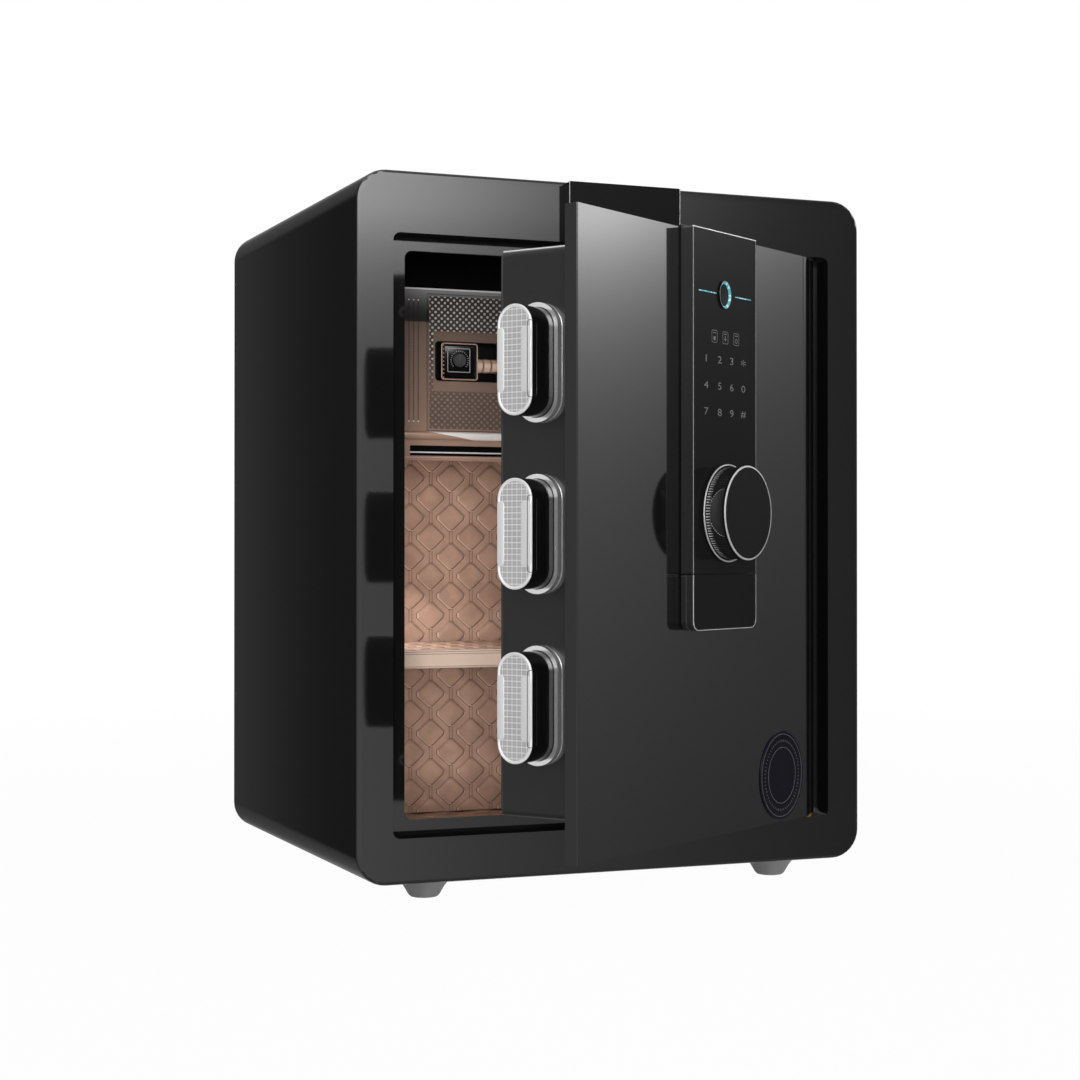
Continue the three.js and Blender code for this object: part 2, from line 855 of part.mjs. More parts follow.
function doorBoxBody() {
  const { left, right, bottom, top } = boxEdge;
  const wall = doorBox.wall;
  const outer = alongY(
    rounded(left, bottom, right, top, doorBox.corner),
    door.plate,
    boxBack,
    steps.edgeSteps,
  );
  const hollow = box(
    left + wall,
    right - wall,
    door.plate - fit.overrun,
    boxBack - wall,
    bottom + wall,
    top - wall,
  );
  const hatch = box(
    left + doorBox.flange,
    right - doorBox.flange,
    door.plate,
    boxBack + fit.overrun,
    bottom + doorBox.flange,
    top - doorBox.flange,
  );
  const gates = boltCentres.map((centre) =>
    alongX(boltOutline(centre, collar.bore), left - fit.overrun, left + wall + fit.overrun),
  );
  return cut(outer, hollow, hatch, ...gates);
}

function innerCover() {
  const { left, right, bottom, top } = boxEdge;
  const sheet = alongY(
    rounded(left, bottom, right, top, doorBox.corner),
    boxBack,
    boxBack + cover.sheet,
    steps.edgeSteps,
  );
  const hole = rodY(
    buttonAcross,
    buttonRise,
    button.bore,
    boxBack - fit.overrun,
    boxBack + cover.sheet + fit.overrun,
  );
  return cut(sheet, hole);
}

// Upright bar behind the plate that ends in the hinge barrel
function hingeBar() {
  const radius = barrel.radius;
  const start = boxEdge.right + barrel.boxGap;
  const rise = doorAxis.y - door.plate;
  const reach = Math.sqrt(radius * radius - rise * rise);
  const outline = new THREE.Shape();
  outline.moveTo(start, door.plate);
  outline.lineTo(doorAxis.x - reach, door.plate);
  const meet = Math.atan2(-rise, -reach);
  outline.absarc(doorAxis.x, doorAxis.y, radius, meet, Math.PI / 2, false);
  outline.lineTo(start, doorAxis.y + radius);
  outline.closePath();
  const low = recess.bottom + pin.headThick + barrel.clear;
  const high = recess.top - pin.headThick - barrel.clear;
  const bar = alongZ(outline, low, high, steps.roundSteps);
  const bore = disc(doorAxis.x, doorAxis.y, barrel.bore);
  const lowerBore = alongZ(bore, low - fit.overrun, low + barrel.boreDepth, steps.roundSteps);
  const upperBore = alongZ(bore, high - barrel.boreDepth, high + fit.overrun, steps.roundSteps);
  return cut(bar, lowerBore, upperBore);
}

function buildDoorShell(leaf) {
  add(leaf, 'door_plate', 'blackPaint', doorPlate());
  add(leaf, 'door_box', 'blackPaint', doorBoxBody());
  add(leaf, 'inner_cover', 'darkPlastic', innerCover());
  add(leaf, 'hinge_bar', 'blackPaint', hingeBar());
}

// Control panel with the fingerprint sensor, the sliding key cover and the emergency lock
function buildPanel(leaf) {
  const left = panelCentre - panel.wide / 2;
  const right = left + panel.wide;
  const low = keyTop + keyCover.gap;
  const caseFront = -(panel.thick - panel.glass);
  const shaftBore = (front, rear) =>
    rodY(panelCentre, knobRise, shaft.radius + fit.running, front - fit.overrun, rear + fit.overrun);
  const sheet = rounded(left, low, right, doorTop, panel.corner);
  const caseBody = cut(alongY(sheet, caseFront, 0, steps.edgeSteps), shaftBore(caseFront, 0));
  const glass = cut(
    alongY(sheet, -panel.thick, caseFront, steps.edgeSteps),
    shaftBore(-panel.thick, caseFront),
  );
  add(leaf, 'panel_case', 'glossBlack', caseBody);
  add(leaf, 'panel_glass', 'glossBlack', glass);

  const outline = rounded(left, keyBottom, right, keyTop, panel.corner, panel.bottomCorner);
  const coverRear = -panel.thick + keyCover.thick;
  const baseFront = coverRear + keyCover.gap;
  const keyHole = rodY(
    panelCentre,
    keyMiddle,
    keyCylinder.radius + fit.running,
    baseFront - fit.overrun,
    fit.overrun,
  );
  add(leaf, 'key_base', 'glossBlack', cut(alongY(outline, baseFront, 0, steps.edgeSteps), keyHole));
  add(leaf, 'key_cover', 'glossBlack', alongY(outline, -panel.thick, coverRear, steps.edgeSteps));
  const keySlot = box(
    panelCentre - keyCylinder.key,
    panelCentre + keyCylinder.key,
    baseFront - fit.overrun,
    baseFront + keyCylinder.keyDeep,
    keyMiddle - keyCylinder.keyTall / 2,
    keyMiddle + keyCylinder.keyTall / 2,
  );
  const cylinder = rodY(
    panelCentre,
    keyMiddle,
    keyCylinder.radius,
    baseFront,
    baseFront + keyCylinder.length,
  );
  add(leaf, 'key_cylinder', 'steel', cut(cylinder, keySlot));

  const sensorFront = -panel.thick - sensor.proud;
  const dial = rodY(panelCentre, sensorRise, sensor.outer, sensorFront, -panel.thick);
  const dish = rodY(
    panelCentre,
    sensorRise,
    sensor.inner,
    sensorFront - fit.overrun,
    -panel.thick - sensor.lens,
  );
  add(leaf, 'sensor_ring', 'chrome', cut(dial, dish));
}

// Knob: ridged grip with two smooth scoops, a flat cap, and a shaft with the cam
function knobGrip() {
  const rear = -knob.base;
  const front = rear - knob.gripLength;
  const ridged = alongY(
    toothed(panelCentre, knobRise, knob.grip, knob.tooth, steps.toothCount),
    front,
    rear,
  );
  const scoops = [-1, 1].map((side) => {
    const ball = new THREE.SphereGeometry(knob.scoop, steps.ballSteps * 2, steps.ballSteps);
    ball.translate(panelCentre + side * knob.scoopOut, -knob.scoopFront, knobRise);
    return ball;
  });
  return cut(ridged, ...scoops);
}

function knobCap() {
  const rear = -knob.base - knob.gripLength;
  const front = rear - knob.capThick;
  const edge = knob.capEdge;
  const half = new THREE.Shape();
  half.moveTo(0, front);
  half.lineTo(knob.cap - edge, front);
  half.lineTo(knob.cap, front + edge);
  half.lineTo(knob.cap, rear);
  half.lineTo(0, rear);
  const turned = new THREE.LatheGeometry(half.getPoints(), steps.turnSteps * 2);
  turned.translate(panelCentre, 0, knobRise);
  return turned;
}

function knobShaft() {
  const rear = shaft.camFront + shaft.cam;
  const bar = rodY(panelCentre, knobRise, shaft.radius, -knob.base, rear);
  const camOutline = new THREE.Shape();
  camOutline.absarc(0, 0, shaft.camRound, 0, Math.PI, true);
  camOutline.lineTo(-shaft.camRound, shaft.camArm);
  camOutline.absarc(0, shaft.camArm, shaft.camRound, Math.PI, 0, true);
  camOutline.closePath();
  const cam = alongY(camOutline, shaft.camFront, rear);
  const camPin = rodY(0, shaft.camArm, shaft.pin, shaft.camFront, rear + shaft.pinLength, steps.smallSteps);
  for (const piece of [cam, camPin]) {
    piece.rotateY(-Math.PI / 4);
    piece.translate(panelCentre, 0, knobRise);
  }
  return join(bar, cam, camPin);
}

function buildKnob(leaf) {
  const face = -panel.thick;
  const flange = rodY(panelCentre, knobRise, ring.outer, face - ring.tall, face, steps.fineSteps);
  const dish = rodY(
    panelCentre,
    knobRise,
    ring.inner,
    face - ring.tall - fit.overrun,
    face - ring.floor,
    steps.fineSteps,
  );
  const bore = rodY(panelCentre, knobRise, ring.bore, face - ring.tall, face + fit.overrun);
  add(leaf, 'knob_ring', 'chrome', cut(flange, dish, bore));
  add(leaf, 'knob_grip', 'glossBlack', knobGrip());
  add(leaf, 'knob_cap', 'glossBlack', knobCap());
  add(leaf, 'knob_shaft', 'steel', knobShaft());
}

// Bolts on one carriage; the carriage arm has the slot that the cam pin drives
function boltBody(centre) {
  const tip = doorBox.inset - bolt.out;
  const root = doorBox.inset + bolt.inside;
  const bar = alongX(boltOutline(centre, 0), tip, root);
  const pocket = alongX(boltOutline(centre, -bolt.rim), tip - fit.overrun, tip + boltFace.pocket);
  const ribs = [bolt.front, bolt.front + bolt.thick - boltFace.rib].map((start) =>
    box(
      tip,
      tip + boltFace.pocket + fit.overrun,
      start,
      start + boltFace.rib,
      centre - boltFace.ribTall / 2,
      centre + boltFace.ribTall / 2,
    ),
  );
  return join(cut(bar, pocket), ...ribs);
}

function collarBody(centre) {
  const root = doorBox.inset;
  const face = root - collar.long;
  const half = (collar.long - collar.groove) / 2;
  const bandOutline = boltOutline(centre, collar.rim);
  const grooveOutline = boltOutline(centre, collar.rim - collar.grooveDeep);
  const solid = join(
    alongX(bandOutline, face, face + half),
    alongX(grooveOutline, face + half, face + half + collar.groove),
    alongX(bandOutline, face + half + collar.groove, root),
  );
  return cut(solid, alongX(boltOutline(centre, collar.bore), face - fit.overrun, root + fit.overrun));
}

function carriageBody() {
  const left = doorBox.inset + bolt.inside;
  const middle = bolt.front + bolt.thick / 2;
  const bar = box(
    left,
    left + carriage.thick,
    middle - carriage.wide / 2,
    middle + carriage.wide / 2,
    boltCentres[0] - carriage.over,
    boltCentres[boltCentres.length - 1] + carriage.over,
  );
  const pinAcross = panelCentre - shaft.camArm * Math.SQRT1_2;
  const low = knobRise + carriage.armLift;
  const arm = box(
    left,
    pinAcross + shaft.pin + carriage.armEnd,
    armFront,
    armFront + carriage.arm,
    low,
    low + carriage.armTall,
  );
  const reach = shaft.pin + camSlot.play;
  const slotHole = box(
    pinAcross - reach,
    pinAcross + reach,
    armFront - fit.overrun,
    armFront + carriage.arm + fit.overrun,
    knobRise + shaft.camArm * Math.SQRT1_2 - reach,
    knobRise + shaft.camArm + reach,
  );
  return cut(join(bar, arm), slotHole);
}

function buildBolts(leaf) {
  const names = ['bottom', 'middle', 'top'];
  boltCentres.forEach((centre, index) => {
    add(leaf, `bolt_${names[index]}`, 'glossBlack', boltBody(centre));
    add(leaf, `bolt_collar_${names[index]}`, 'chrome', collarBody(centre));
  });
  add(leaf, 'bolt_carriage', 'steel', carriageBody());
}

// Circuit board, battery holder, solenoid and the enrolment button
function circuitBoard() {
  const { wide, tall, edge } = board;
  const left = (solenoidRight + boxEdge.right - doorBox.wall - wide) / 2 + board.shift;
  const bottom = doorMiddle - board.drop;
  const front = door.plate + board.post;
  const sheet = box(left, left + wide, front, front + board.thick, bottom, bottom + tall);
  const posts = [];
  for (const x of [left + edge, left + wide - edge]) {
    for (const z of [bottom + edge, bottom + tall - edge]) {
      posts.push(rodY(x, z, board.postRadius, door.plate, front + board.thick, steps.smallSteps));
    }
  }
  return join(sheet, ...posts);
}

function buildElectronics(leaf) {
  add(leaf, 'circuit_board', 'board', circuitBoard());

  const wide = 2 * cell.radius * cell.count + cell.gap * (cell.count + 1);
  const tall = cell.long + 2 * cell.gap;
  const front = boxBack - holder.deep;
  const wall = holder.wall;
  const left = boxEdge.right - holder.hingeGap - wall - wide;
  const bottom = boxEdge.bottom + holder.rise;
  const outer = box(left - wall, left + wide + wall, front, boxBack, bottom - wall, bottom + tall + wall);
  const hollow = box(left, left + wide, front - fit.overrun, boxBack - wall, bottom, bottom + tall);
  add(leaf, 'battery_holder', 'darkPlastic', cut(outer, hollow));
  for (let index = 0; index < cell.count; index += 1) {
    const x = left + cell.gap + cell.radius + index * (2 * cell.radius + cell.gap);
    const y = boxBack - wall - cell.radius - fit.seam;
    const low = bottom + cell.gap;
    add(
      leaf,
      `battery_${index + 1}`,
      'cell',
      alongZ(disc(x, y, cell.radius), low, low + cell.long, steps.smallSteps),
    );
  }

  const centre = panelCentre + solenoid.shift;
  const rise = knobRise + solenoid.lift;
  const coil = box(
    centre - solenoid.wide / 2,
    centre + solenoid.wide / 2,
    door.plate,
    door.plate + solenoid.deep,
    rise,
    rise + solenoid.tall,
  );
  const across = door.plate + solenoid.deep / 2;
  const bore = alongZ(
    disc(centre, across, solenoid.bore),
    rise - fit.overrun,
    rise + solenoid.tall - solenoid.bore,
    steps.roundSteps,
  );
  add(leaf, 'solenoid', 'steel', cut(coil, bore));
  const plungerLow = rise + plunger.inside - plunger.length;
  const rod = alongZ(
    disc(centre, across, plunger.radius),
    plungerLow,
    rise + plunger.inside,
    steps.roundSteps,
  );
  add(leaf, 'solenoid_plunger', 'steel', rod);

  const switchFront = boxBack - button.bodyDeep;
  const bodySolid = rodY(buttonAcross, buttonRise, button.body, switchFront, boxBack);
  const well = rodY(
    buttonAcross,
    buttonRise,
    button.bore,
    boxBack - button.stem - button.proud - fit.seam,
    boxBack + fit.overrun,
  );
  add(leaf, 'enroll_switch', 'darkPlastic', cut(bodySolid, well));
  const cap = rodY(
    buttonAcross,
    buttonRise,
    button.radius,
    boxBack - button.stem,
    boxBack + cover.sheet + button.proud,
  );
  add(leaf, 'enroll_button', 'red', cap);
}

// The door hangs on its pivot, turned open by its rest angle
function buildDoor(safe) {
  const hinge = new THREE.Group();
  hinge.position.set(recess.right - pivot.fromWall, pivot.depth, 0);
  hinge.rotation.z = door.open;
  const leaf = new THREE.Group();
  leaf.position.set(-doorAxis.x, -doorAxis.y, 0);
  hinge.add(leaf);
  safe.add(hinge);
  buildDoorShell(leaf);
  buildPanel(leaf);
  buildKnob(leaf);
  buildBolts(leaf);
  buildElectronics(leaf);
}

// The whole safe stands on its feet, centred on its own outline
const safe = new THREE.Group();
buildBody(safe);
buildShelf(safe);
buildModule(safe);
buildDrawer(safe);
buildTrim(safe);
buildDoor(safe);
safe.updateMatrixWorld(true);
const bounds = new THREE.Box3().setFromObject(safe, true);
const middle = bounds.getCenter(new THREE.Vector3());
safe.position.set(-middle.x, -middle.y, -bounds.min.z);

export default safe;
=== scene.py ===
"""Looks of a biometric home safe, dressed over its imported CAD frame.

Lengths are millimetres of the safe until Place.lay turns them into metres of the shared frame.
A shape is worked out as whole numpy arrays, from a function of two parameters on a grid or from
a profile carried along a path.
"""

import json
import logging
import math
from collections.abc import Iterable
from dataclasses import dataclass
from enum import Enum
from functools import reduce

import bmesh
import bpy
import numpy as np
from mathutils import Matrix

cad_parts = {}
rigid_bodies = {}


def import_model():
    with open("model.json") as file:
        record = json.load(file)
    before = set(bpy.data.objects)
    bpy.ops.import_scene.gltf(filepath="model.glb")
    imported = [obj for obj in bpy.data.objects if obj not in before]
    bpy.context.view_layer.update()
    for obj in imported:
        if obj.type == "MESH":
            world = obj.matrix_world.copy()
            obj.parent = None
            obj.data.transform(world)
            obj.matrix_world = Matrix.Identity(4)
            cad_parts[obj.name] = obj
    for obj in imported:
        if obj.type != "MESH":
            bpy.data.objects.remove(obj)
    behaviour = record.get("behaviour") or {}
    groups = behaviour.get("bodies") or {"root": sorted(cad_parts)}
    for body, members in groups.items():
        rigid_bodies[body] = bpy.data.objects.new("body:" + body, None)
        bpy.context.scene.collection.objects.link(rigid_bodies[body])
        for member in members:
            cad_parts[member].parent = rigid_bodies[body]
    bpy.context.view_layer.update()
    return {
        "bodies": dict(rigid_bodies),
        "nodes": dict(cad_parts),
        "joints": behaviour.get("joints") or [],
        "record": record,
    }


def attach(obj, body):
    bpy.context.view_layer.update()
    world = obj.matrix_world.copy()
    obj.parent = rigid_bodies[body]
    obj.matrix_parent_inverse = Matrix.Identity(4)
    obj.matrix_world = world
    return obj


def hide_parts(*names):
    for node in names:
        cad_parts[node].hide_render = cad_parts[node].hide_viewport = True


LOG = logging.getLogger("safe")
Colour = tuple[float, float, float]


# Places and shapes


@dataclass(frozen=True)
class Place:
    """Axes of the safe's body or of its open door: an origin in millimetres and a turn about Z."""

    x: float
    y: float
    z: float
    turn: float = 0.0

    def lay(self, points: np.ndarray) -> np.ndarray:
        """Turns points about Z, shifts them to the origin and changes millimetres to metres.

        Args:
            points: array whose last axis holds the three local coordinates.

        Returns:
            The same points in the shared frame.
        """
        cos, sin = math.cos(math.radians(self.turn)), math.sin(math.radians(self.turn))
        u, v, w = points[..., 0], points[..., 1], points[..., 2]
        laid = (self.x + u * cos - v * sin, self.y + u * sin + v * cos, self.z + w)
        return np.stack(laid, -1) / 1000


BODY = Place(-180.0, -79.2255, 12.6)
LEAF = Place(-97.8845, -237.0797, 12.6, 32.7)
# The way that the open door's face looks, and the middle of the body's width.
FRONT = (0.5402, -0.8415, 0.0)
MIDDLE = 180.0


@dataclass
class Shape:
    """A mesh before it is placed: its points and its faces, with a UV pair for each point if it has one."""

    points: np.ndarray
    faces: list[list[int]]
    uv: np.ndarray | None = None

    def __add__(self, other: "Shape") -> "Shape":
        """Both shapes as one."""
        shifted = [[i + len(self.points) for i in face] for face in other.faces]
        both = None
        if self.uv is not None and other.uv is not None:
            both = np.concatenate([self.uv, other.uv])
        return Shape(np.concatenate([self.points, other.points]), self.faces + shifted, both)

    def moved(self, x: float = 0.0, y: float = 0.0, z: float = 0.0) -> "Shape":
        """The shape shifted by three lengths."""
        return Shape(self.points + np.array([x, y, z]), self.faces, self.uv)

    def scaled(self, by: np.ndarray) -> "Shape":
        """The shape drawn larger or smaller by one factor for each axis."""
        return Shape(self.points * by, self.faces, self.uv)


def grid(points: np.ndarray, wrap_rows: bool = False, wrap_columns: bool = False, caps: bool = False,
         uv: np.ndarray | None = None) -> Shape:
    """Joins a grid of points with quads, four neighbours to a face.

    Args:
        points: rows by columns by three.
        wrap_rows: joins the last row to the first.
        wrap_columns: joins the last column to the first.
        caps: closes the first and last row with one face each.
        uv: rows by columns by two, or nothing.

    Returns:
        The surface as a shape.
    """
    rows, columns = points.shape[:2]
    i, j = np.meshgrid(np.arange(rows - (not wrap_rows)), np.arange(columns - (not wrap_columns)), indexing="ij")
    down, right = (i + 1) % rows, (j + 1) % columns
    quads = np.stack([i * columns + j, down * columns + j, down * columns + right, i * columns + right], -1)
    faces = quads.reshape(-1, 4).tolist()
    if caps:
        faces.append(list(range(columns)))
        faces.append(list(range((rows - 1) * columns, rows * columns))[::-1])
    flat = None if uv is None else uv.reshape(-1, 2)
    return Shape(points.reshape(-1, 3), faces, flat)


def rounded(width: float, height: float, radius: float, steps: int = 8) -> tuple[np.ndarray, np.ndarray]:
    """Outline of a rectangle whose corners are arcs: corner centre plus radius times the outward direction.

    Args:
        width: full width.
        height: full height.
        radius: corner radius.
        steps: pieces in each corner's arc.

    Returns:
        The points and their outward directions, each an array of pairs, anticlockwise.
    """
    quarter = np.linspace(0, math.pi / 2, steps + 1)
    angle = np.concatenate([quarter + k * math.pi / 2 for k in range(4)])
    normal = np.stack([np.cos(angle), np.sin(angle)], -1)
    sign = np.repeat(np.array([[1, 1], [-1, 1], [-1, -1], [1, -1]]), steps + 1, axis=0)
    centre = sign * np.array([width / 2 - radius, height / 2 - radius])
    return centre + radius * normal, normal


def carried(path: np.ndarray, normal: np.ndarray, profile: np.ndarray, closed: bool = True) -> Shape:
    """Carries a profile along a flat path: path point plus profile x times its normal, at depth profile y.

    Args:
        path: points of the path as (across, up) pairs.
        normal: outward direction at each point.
        profile: closed loop of (outward, depth) pairs.
        closed: whether the path is a loop, or has two ends that are capped.

    Returns:
        A shape whose coordinates are (across, depth, up).
    """
    flat = path[:, None, :] + normal[:, None, :] * profile[None, :, :1]
    depth = np.broadcast_to(profile[None, :, 1], flat.shape[:2])
    points = np.stack([flat[..., 0], depth, flat[..., 1]], -1)
    return grid(points, wrap_rows=closed, wrap_columns=True, caps=not closed)


def turned(profile: np.ndarray, steps: int = 48) -> Shape:
    """Turns a profile of (radius, depth) pairs about the depth axis: radius times cosine and sine of the angle.

    Args:
        profile: points from one end to the other; an end at radius zero closes to a pole.
        steps: pieces round the axis.

    Returns:
        A shape whose coordinates are (across, depth, up).
    """
    angle = np.linspace(0, 2 * math.pi, steps, endpoint=False)
    radius, depth = profile[:, 0][:, None], profile[:, 1][:, None]
    points = np.stack([radius * np.cos(angle), depth + 0 * angle, radius * np.sin(angle)], -1)
    return grid(points, wrap_columns=True)


def slab(outline: np.ndarray, normal: np.ndarray, back: float, front: float, soft: float) -> Shape:
    """A plate with softened front edges: the outline at each depth, drawn in by a quarter round at the front.

    Args:
        outline: points of the edge as (across, up) pairs.
        normal: outward direction at each point.
        back: depth of the back face.
        front: depth of the front face.
        soft: radius of the front edge.

    Returns:
        A closed shape whose coordinates are (across, depth, up).
    """
    turn = np.linspace(0, math.pi / 2, 5)
    way = 1 if front > back else -1
    draw = np.concatenate([[0.0], -soft * (1 - np.cos(turn))])
    depth = np.concatenate([[back], front - way * soft * (1 - np.sin(turn))])
    flat = outline[None] + normal[None] * draw[:, None, None]
    points = np.stack([flat[..., 0], np.broadcast_to(depth[:, None], flat.shape[:2]), flat[..., 1]], -1)
    return grid(points, wrap_columns=True, caps=True)


def box_edges(width: float, height: float, back: float, front: float, radius: float = 0.3,
              soft: float = 0.15) -> Shape:
    """A small softened plate, centred across and up."""
    outline, normal = rounded(width, height, radius, 4)
    return slab(outline, normal, back, front, soft)


def wire(radius: float, steps: int = 10) -> np.ndarray:
    """A round profile: cosine and sine of the angle times a radius."""
    angle = np.linspace(0, 2 * math.pi, steps, endpoint=False)
    return radius * np.stack([np.cos(angle), np.sin(angle)], -1)


def boundary(cells: np.ndarray) -> np.ndarray:
    """The outermost cells of a grid, once round it from its first corner."""
    return np.concatenate([cells[0], cells[1:, -1], cells[-1, -2::-1], cells[-2:0:-1, 0]])


def lidded(front: np.ndarray, rear: np.ndarray, uv: np.ndarray | None = None) -> Shape:
    """A body with a grid for its front and one flat face behind it, joined round their edges.

    Args:
        front: rows by columns by three.
        rear: the same grid laid back, of which only the edge is used.
        uv: rows by columns by two, or nothing; a rear point takes the pair of the front point before it.

    Returns:
        The closed surface as a shape.
    """
    rows, columns = front.shape[:2]
    edge = boundary(np.arange(rows * columns).reshape(rows, columns))
    around = np.arange(len(edge))
    after = (around + 1) % len(edge)
    behind = rows * columns
    sides = np.stack([edge, edge[after], behind + after, behind + around], -1)
    shape = grid(front)
    both = None if uv is None else np.concatenate([uv.reshape(-1, 2), boundary(uv)])
    faces = shape.faces + sides.tolist() + [(behind + around).tolist()]
    return Shape(np.concatenate([shape.points, boundary(rear)]), faces, both)


def joined(shapes: Iterable[Shape]) -> Shape:
    """Several shapes as one, in their order."""
    return reduce(lambda first, second: first + second, shapes)


# Finishes


class Value:
    """A shader socket whose Python operators add Math nodes."""

    def __init__(self, net: "Net", socket: bpy.types.NodeSocket) -> None:
        """Wraps one output socket of a net."""
        self.net = net
        self.socket = socket

    def math(self, kind: str, *others: "Value | float") -> "Value":
        """Adds a Math node of that kind with this value first."""
        return self.net.node("Math", {"operation": kind}, dict(enumerate((self, *others))))

    def __add__(self, other: "Value | float") -> "Value":
        """Sum."""
        return self.math("ADD", other)

    __radd__ = __add__

    def __sub__(self, other: "Value | float") -> "Value":
        """Difference."""
        return self.math("SUBTRACT", other)

    def __rsub__(self, other: float) -> "Value":
        """Reflected difference."""
        return self.net.node("Math", {"operation": "SUBTRACT"}, {0: other, 1: self})

    def __mul__(self, other: "Value | float") -> "Value":
        """Product."""
        return self.math("MULTIPLY", other)

    __rmul__ = __mul__

    def __truediv__(self, other: "Value | float") -> "Value":
        """Quotient."""
        return self.math("DIVIDE", other)

    def __pow__(self, other: "Value | float") -> "Value":
        """Power."""
        return self.math("POWER", other)

    def near(self, centre: float, width: float) -> "Value":
        """1 at centre, falling in a straight line to 0 at that distance from it."""
        return 1 - ((self - centre).math("ABSOLUTE") / width).math("MINIMUM", 1.0)

    def over(self, start: float, end: float) -> "Value":
        """A soft step from 0 at start to 1 at end."""
        values = {"Value": self, "From Min": start, "From Max": end}
        return self.net.node("MapRange", {"interpolation_type": "SMOOTHSTEP"}, values)

    def signed(self) -> "Value":
        """Distance from the nearest whole number, negative below it."""
        return (self + 0.5).math("FRACT") - 0.5

    def fold(self) -> "Value":
        """Distance to the nearest whole number."""
        return self.signed().math("ABSOLUTE")

    def quarter(self) -> "Value":
        """Distance from the nearest whole or half number."""
        return (self * 2).fold() * 0.5


class Net:
    """The nodes of one material or world."""

    def __init__(self, owner: bpy.types.Material | bpy.types.World) -> None:
        """Empties the owner's node tree."""
        owner.use_nodes = True
        self.tree = owner.node_tree
        self.tree.nodes.clear()

    def node(self, kind: str, settings: dict | None = None, values: dict | None = None,
             out: int | str = 0) -> Value:
        """Adds a node, sets it up and fills its sockets.

        Args:
            kind: the type's name after ShaderNode.
            settings: attributes, and "stops" for a ramp as (position, colour) pairs.
            values: socket name or number to a value, a colour or a number.
            out: which output is returned.

        Returns:
            The chosen output.
        """
        made = self.tree.nodes.new("ShaderNode" + kind)
        for name, setting in (settings or {}).items():
            if name == "stops":
                self._stops(made.color_ramp, setting)
            else:
                setattr(made, name, setting)
        for key, value in (values or {}).items():
            if isinstance(value, Value):
                self.tree.links.new(value.socket, made.inputs[key])
            elif isinstance(value, tuple) and len(value) == 3 and made.inputs[key].type == "RGBA":
                made.inputs[key].default_value = (*value, 1.0)
            else:
                made.inputs[key].default_value = value
        return Value(self, made.outputs[out] if made.outputs else None)

    @staticmethod
    def _stops(ramp: bpy.types.ColorRamp, stops: list[tuple[float, Colour]]) -> None:
        """Gives a ramp its stops."""
        while len(ramp.elements) > 1:
            ramp.elements.remove(ramp.elements[-1])
        for k, (position, colour) in enumerate(stops):
            stop = ramp.elements[0] if k == 0 else ramp.elements.new(position)
            stop.position = position
            stop.color = (*colour, 1.0)

    def axes(self, source: str = "Object") -> tuple[Value, Value, Value]:
        """The three numbers of the Object or UV coordinate."""
        vector = self.node("TexCoord", out=source)
        made = self.tree.nodes.new("ShaderNodeSeparateXYZ")
        self.tree.links.new(vector.socket, made.inputs[0])
        return tuple(Value(self, made.outputs[k]) for k in range(3))

    def noise(self, scale: float, detail: float = 2.0, stretch: Colour = (1.0, 1.0, 1.0)) -> Value:
        """Noise on Object coordinates, with its own scale along each axis."""
        place = self.node("TexCoord", out="Object")
        place = self.node("Mapping", None, {"Vector": place, "Scale": stretch})
        values = {"Vector": place, "Scale": scale, "Detail": detail, "Roughness": 0.5}
        return self.node("TexNoise", None, values)

    def blend(self, share: Value | float, first: Value | Colour, second: Value | Colour) -> Value:
        """Mixes two colours."""
        return self.node("Mix", {"data_type": "RGBA"}, {0: share, 6: first, 7: second}, out=2)

    def bump(self, height: Value, depth: float, strength: float = 1.0) -> Value:
        """A normal from a height of 0 to 1, where 1 stands for depth in metres."""
        values = {"Strength": strength, "Distance": depth, "Height": height}
        return self.node("Bump", None, values)

    def surface(self, **values: Value | float | Colour) -> None:
        """Ends the net in a Principled shader; a socket's name is written with underscores."""
        named = {key.replace("_", " ").replace("Ior", "IOR"): value for key, value in values.items()}
        shader = self.node("BsdfPrincipled", None, named)
        self.node("OutputMaterial", None, {"Surface": shader})


def material(name: str) -> tuple[bpy.types.Material, Net]:
    """A new material and its empty net."""
    made = bpy.data.materials.new(name)
    return made, Net(made)


@dataclass(frozen=True)
class Lacquer:
    """Sprayed gloss lacquer: fine orange peel, a little dust in the coat and slow changes of gloss."""

    name: str
    colour: Colour = (0.0062, 0.0064, 0.0066)
    roughness: float = 0.06
    level: float = 0.5
    peel: float = 0.000004
    speck: float = 0.6

    def make(self) -> bpy.types.Material:
        """Builds the material: noise at 2.5 mm dents the coat, noise at 0.4 mm lightens single grains."""
        made, net = material(self.name)
        grain = net.noise(2600, 1.0).over(0.62, 0.80)
        slow = net.noise(9, 3.0)
        dark = tuple(0.85 * c for c in self.colour)
        light = tuple(1.15 * c for c in self.colour)
        colour = net.blend(slow, dark, light)
        flake = tuple(min(1.0, 2.4 * c + 0.004) for c in self.colour)
        colour = net.blend(grain * self.speck, colour, flake)
        rough = self.roughness * (0.85 + slow * 0.3) + grain * 0.05
        height = net.noise(420, 2.0) * 0.8 + net.noise(1500, 1.0) * 0.2
        net.surface(Base_Color=colour, Roughness=rough, Specular_Ior_Level=self.level,
                    Normal=net.bump(height, self.peel))
        return made


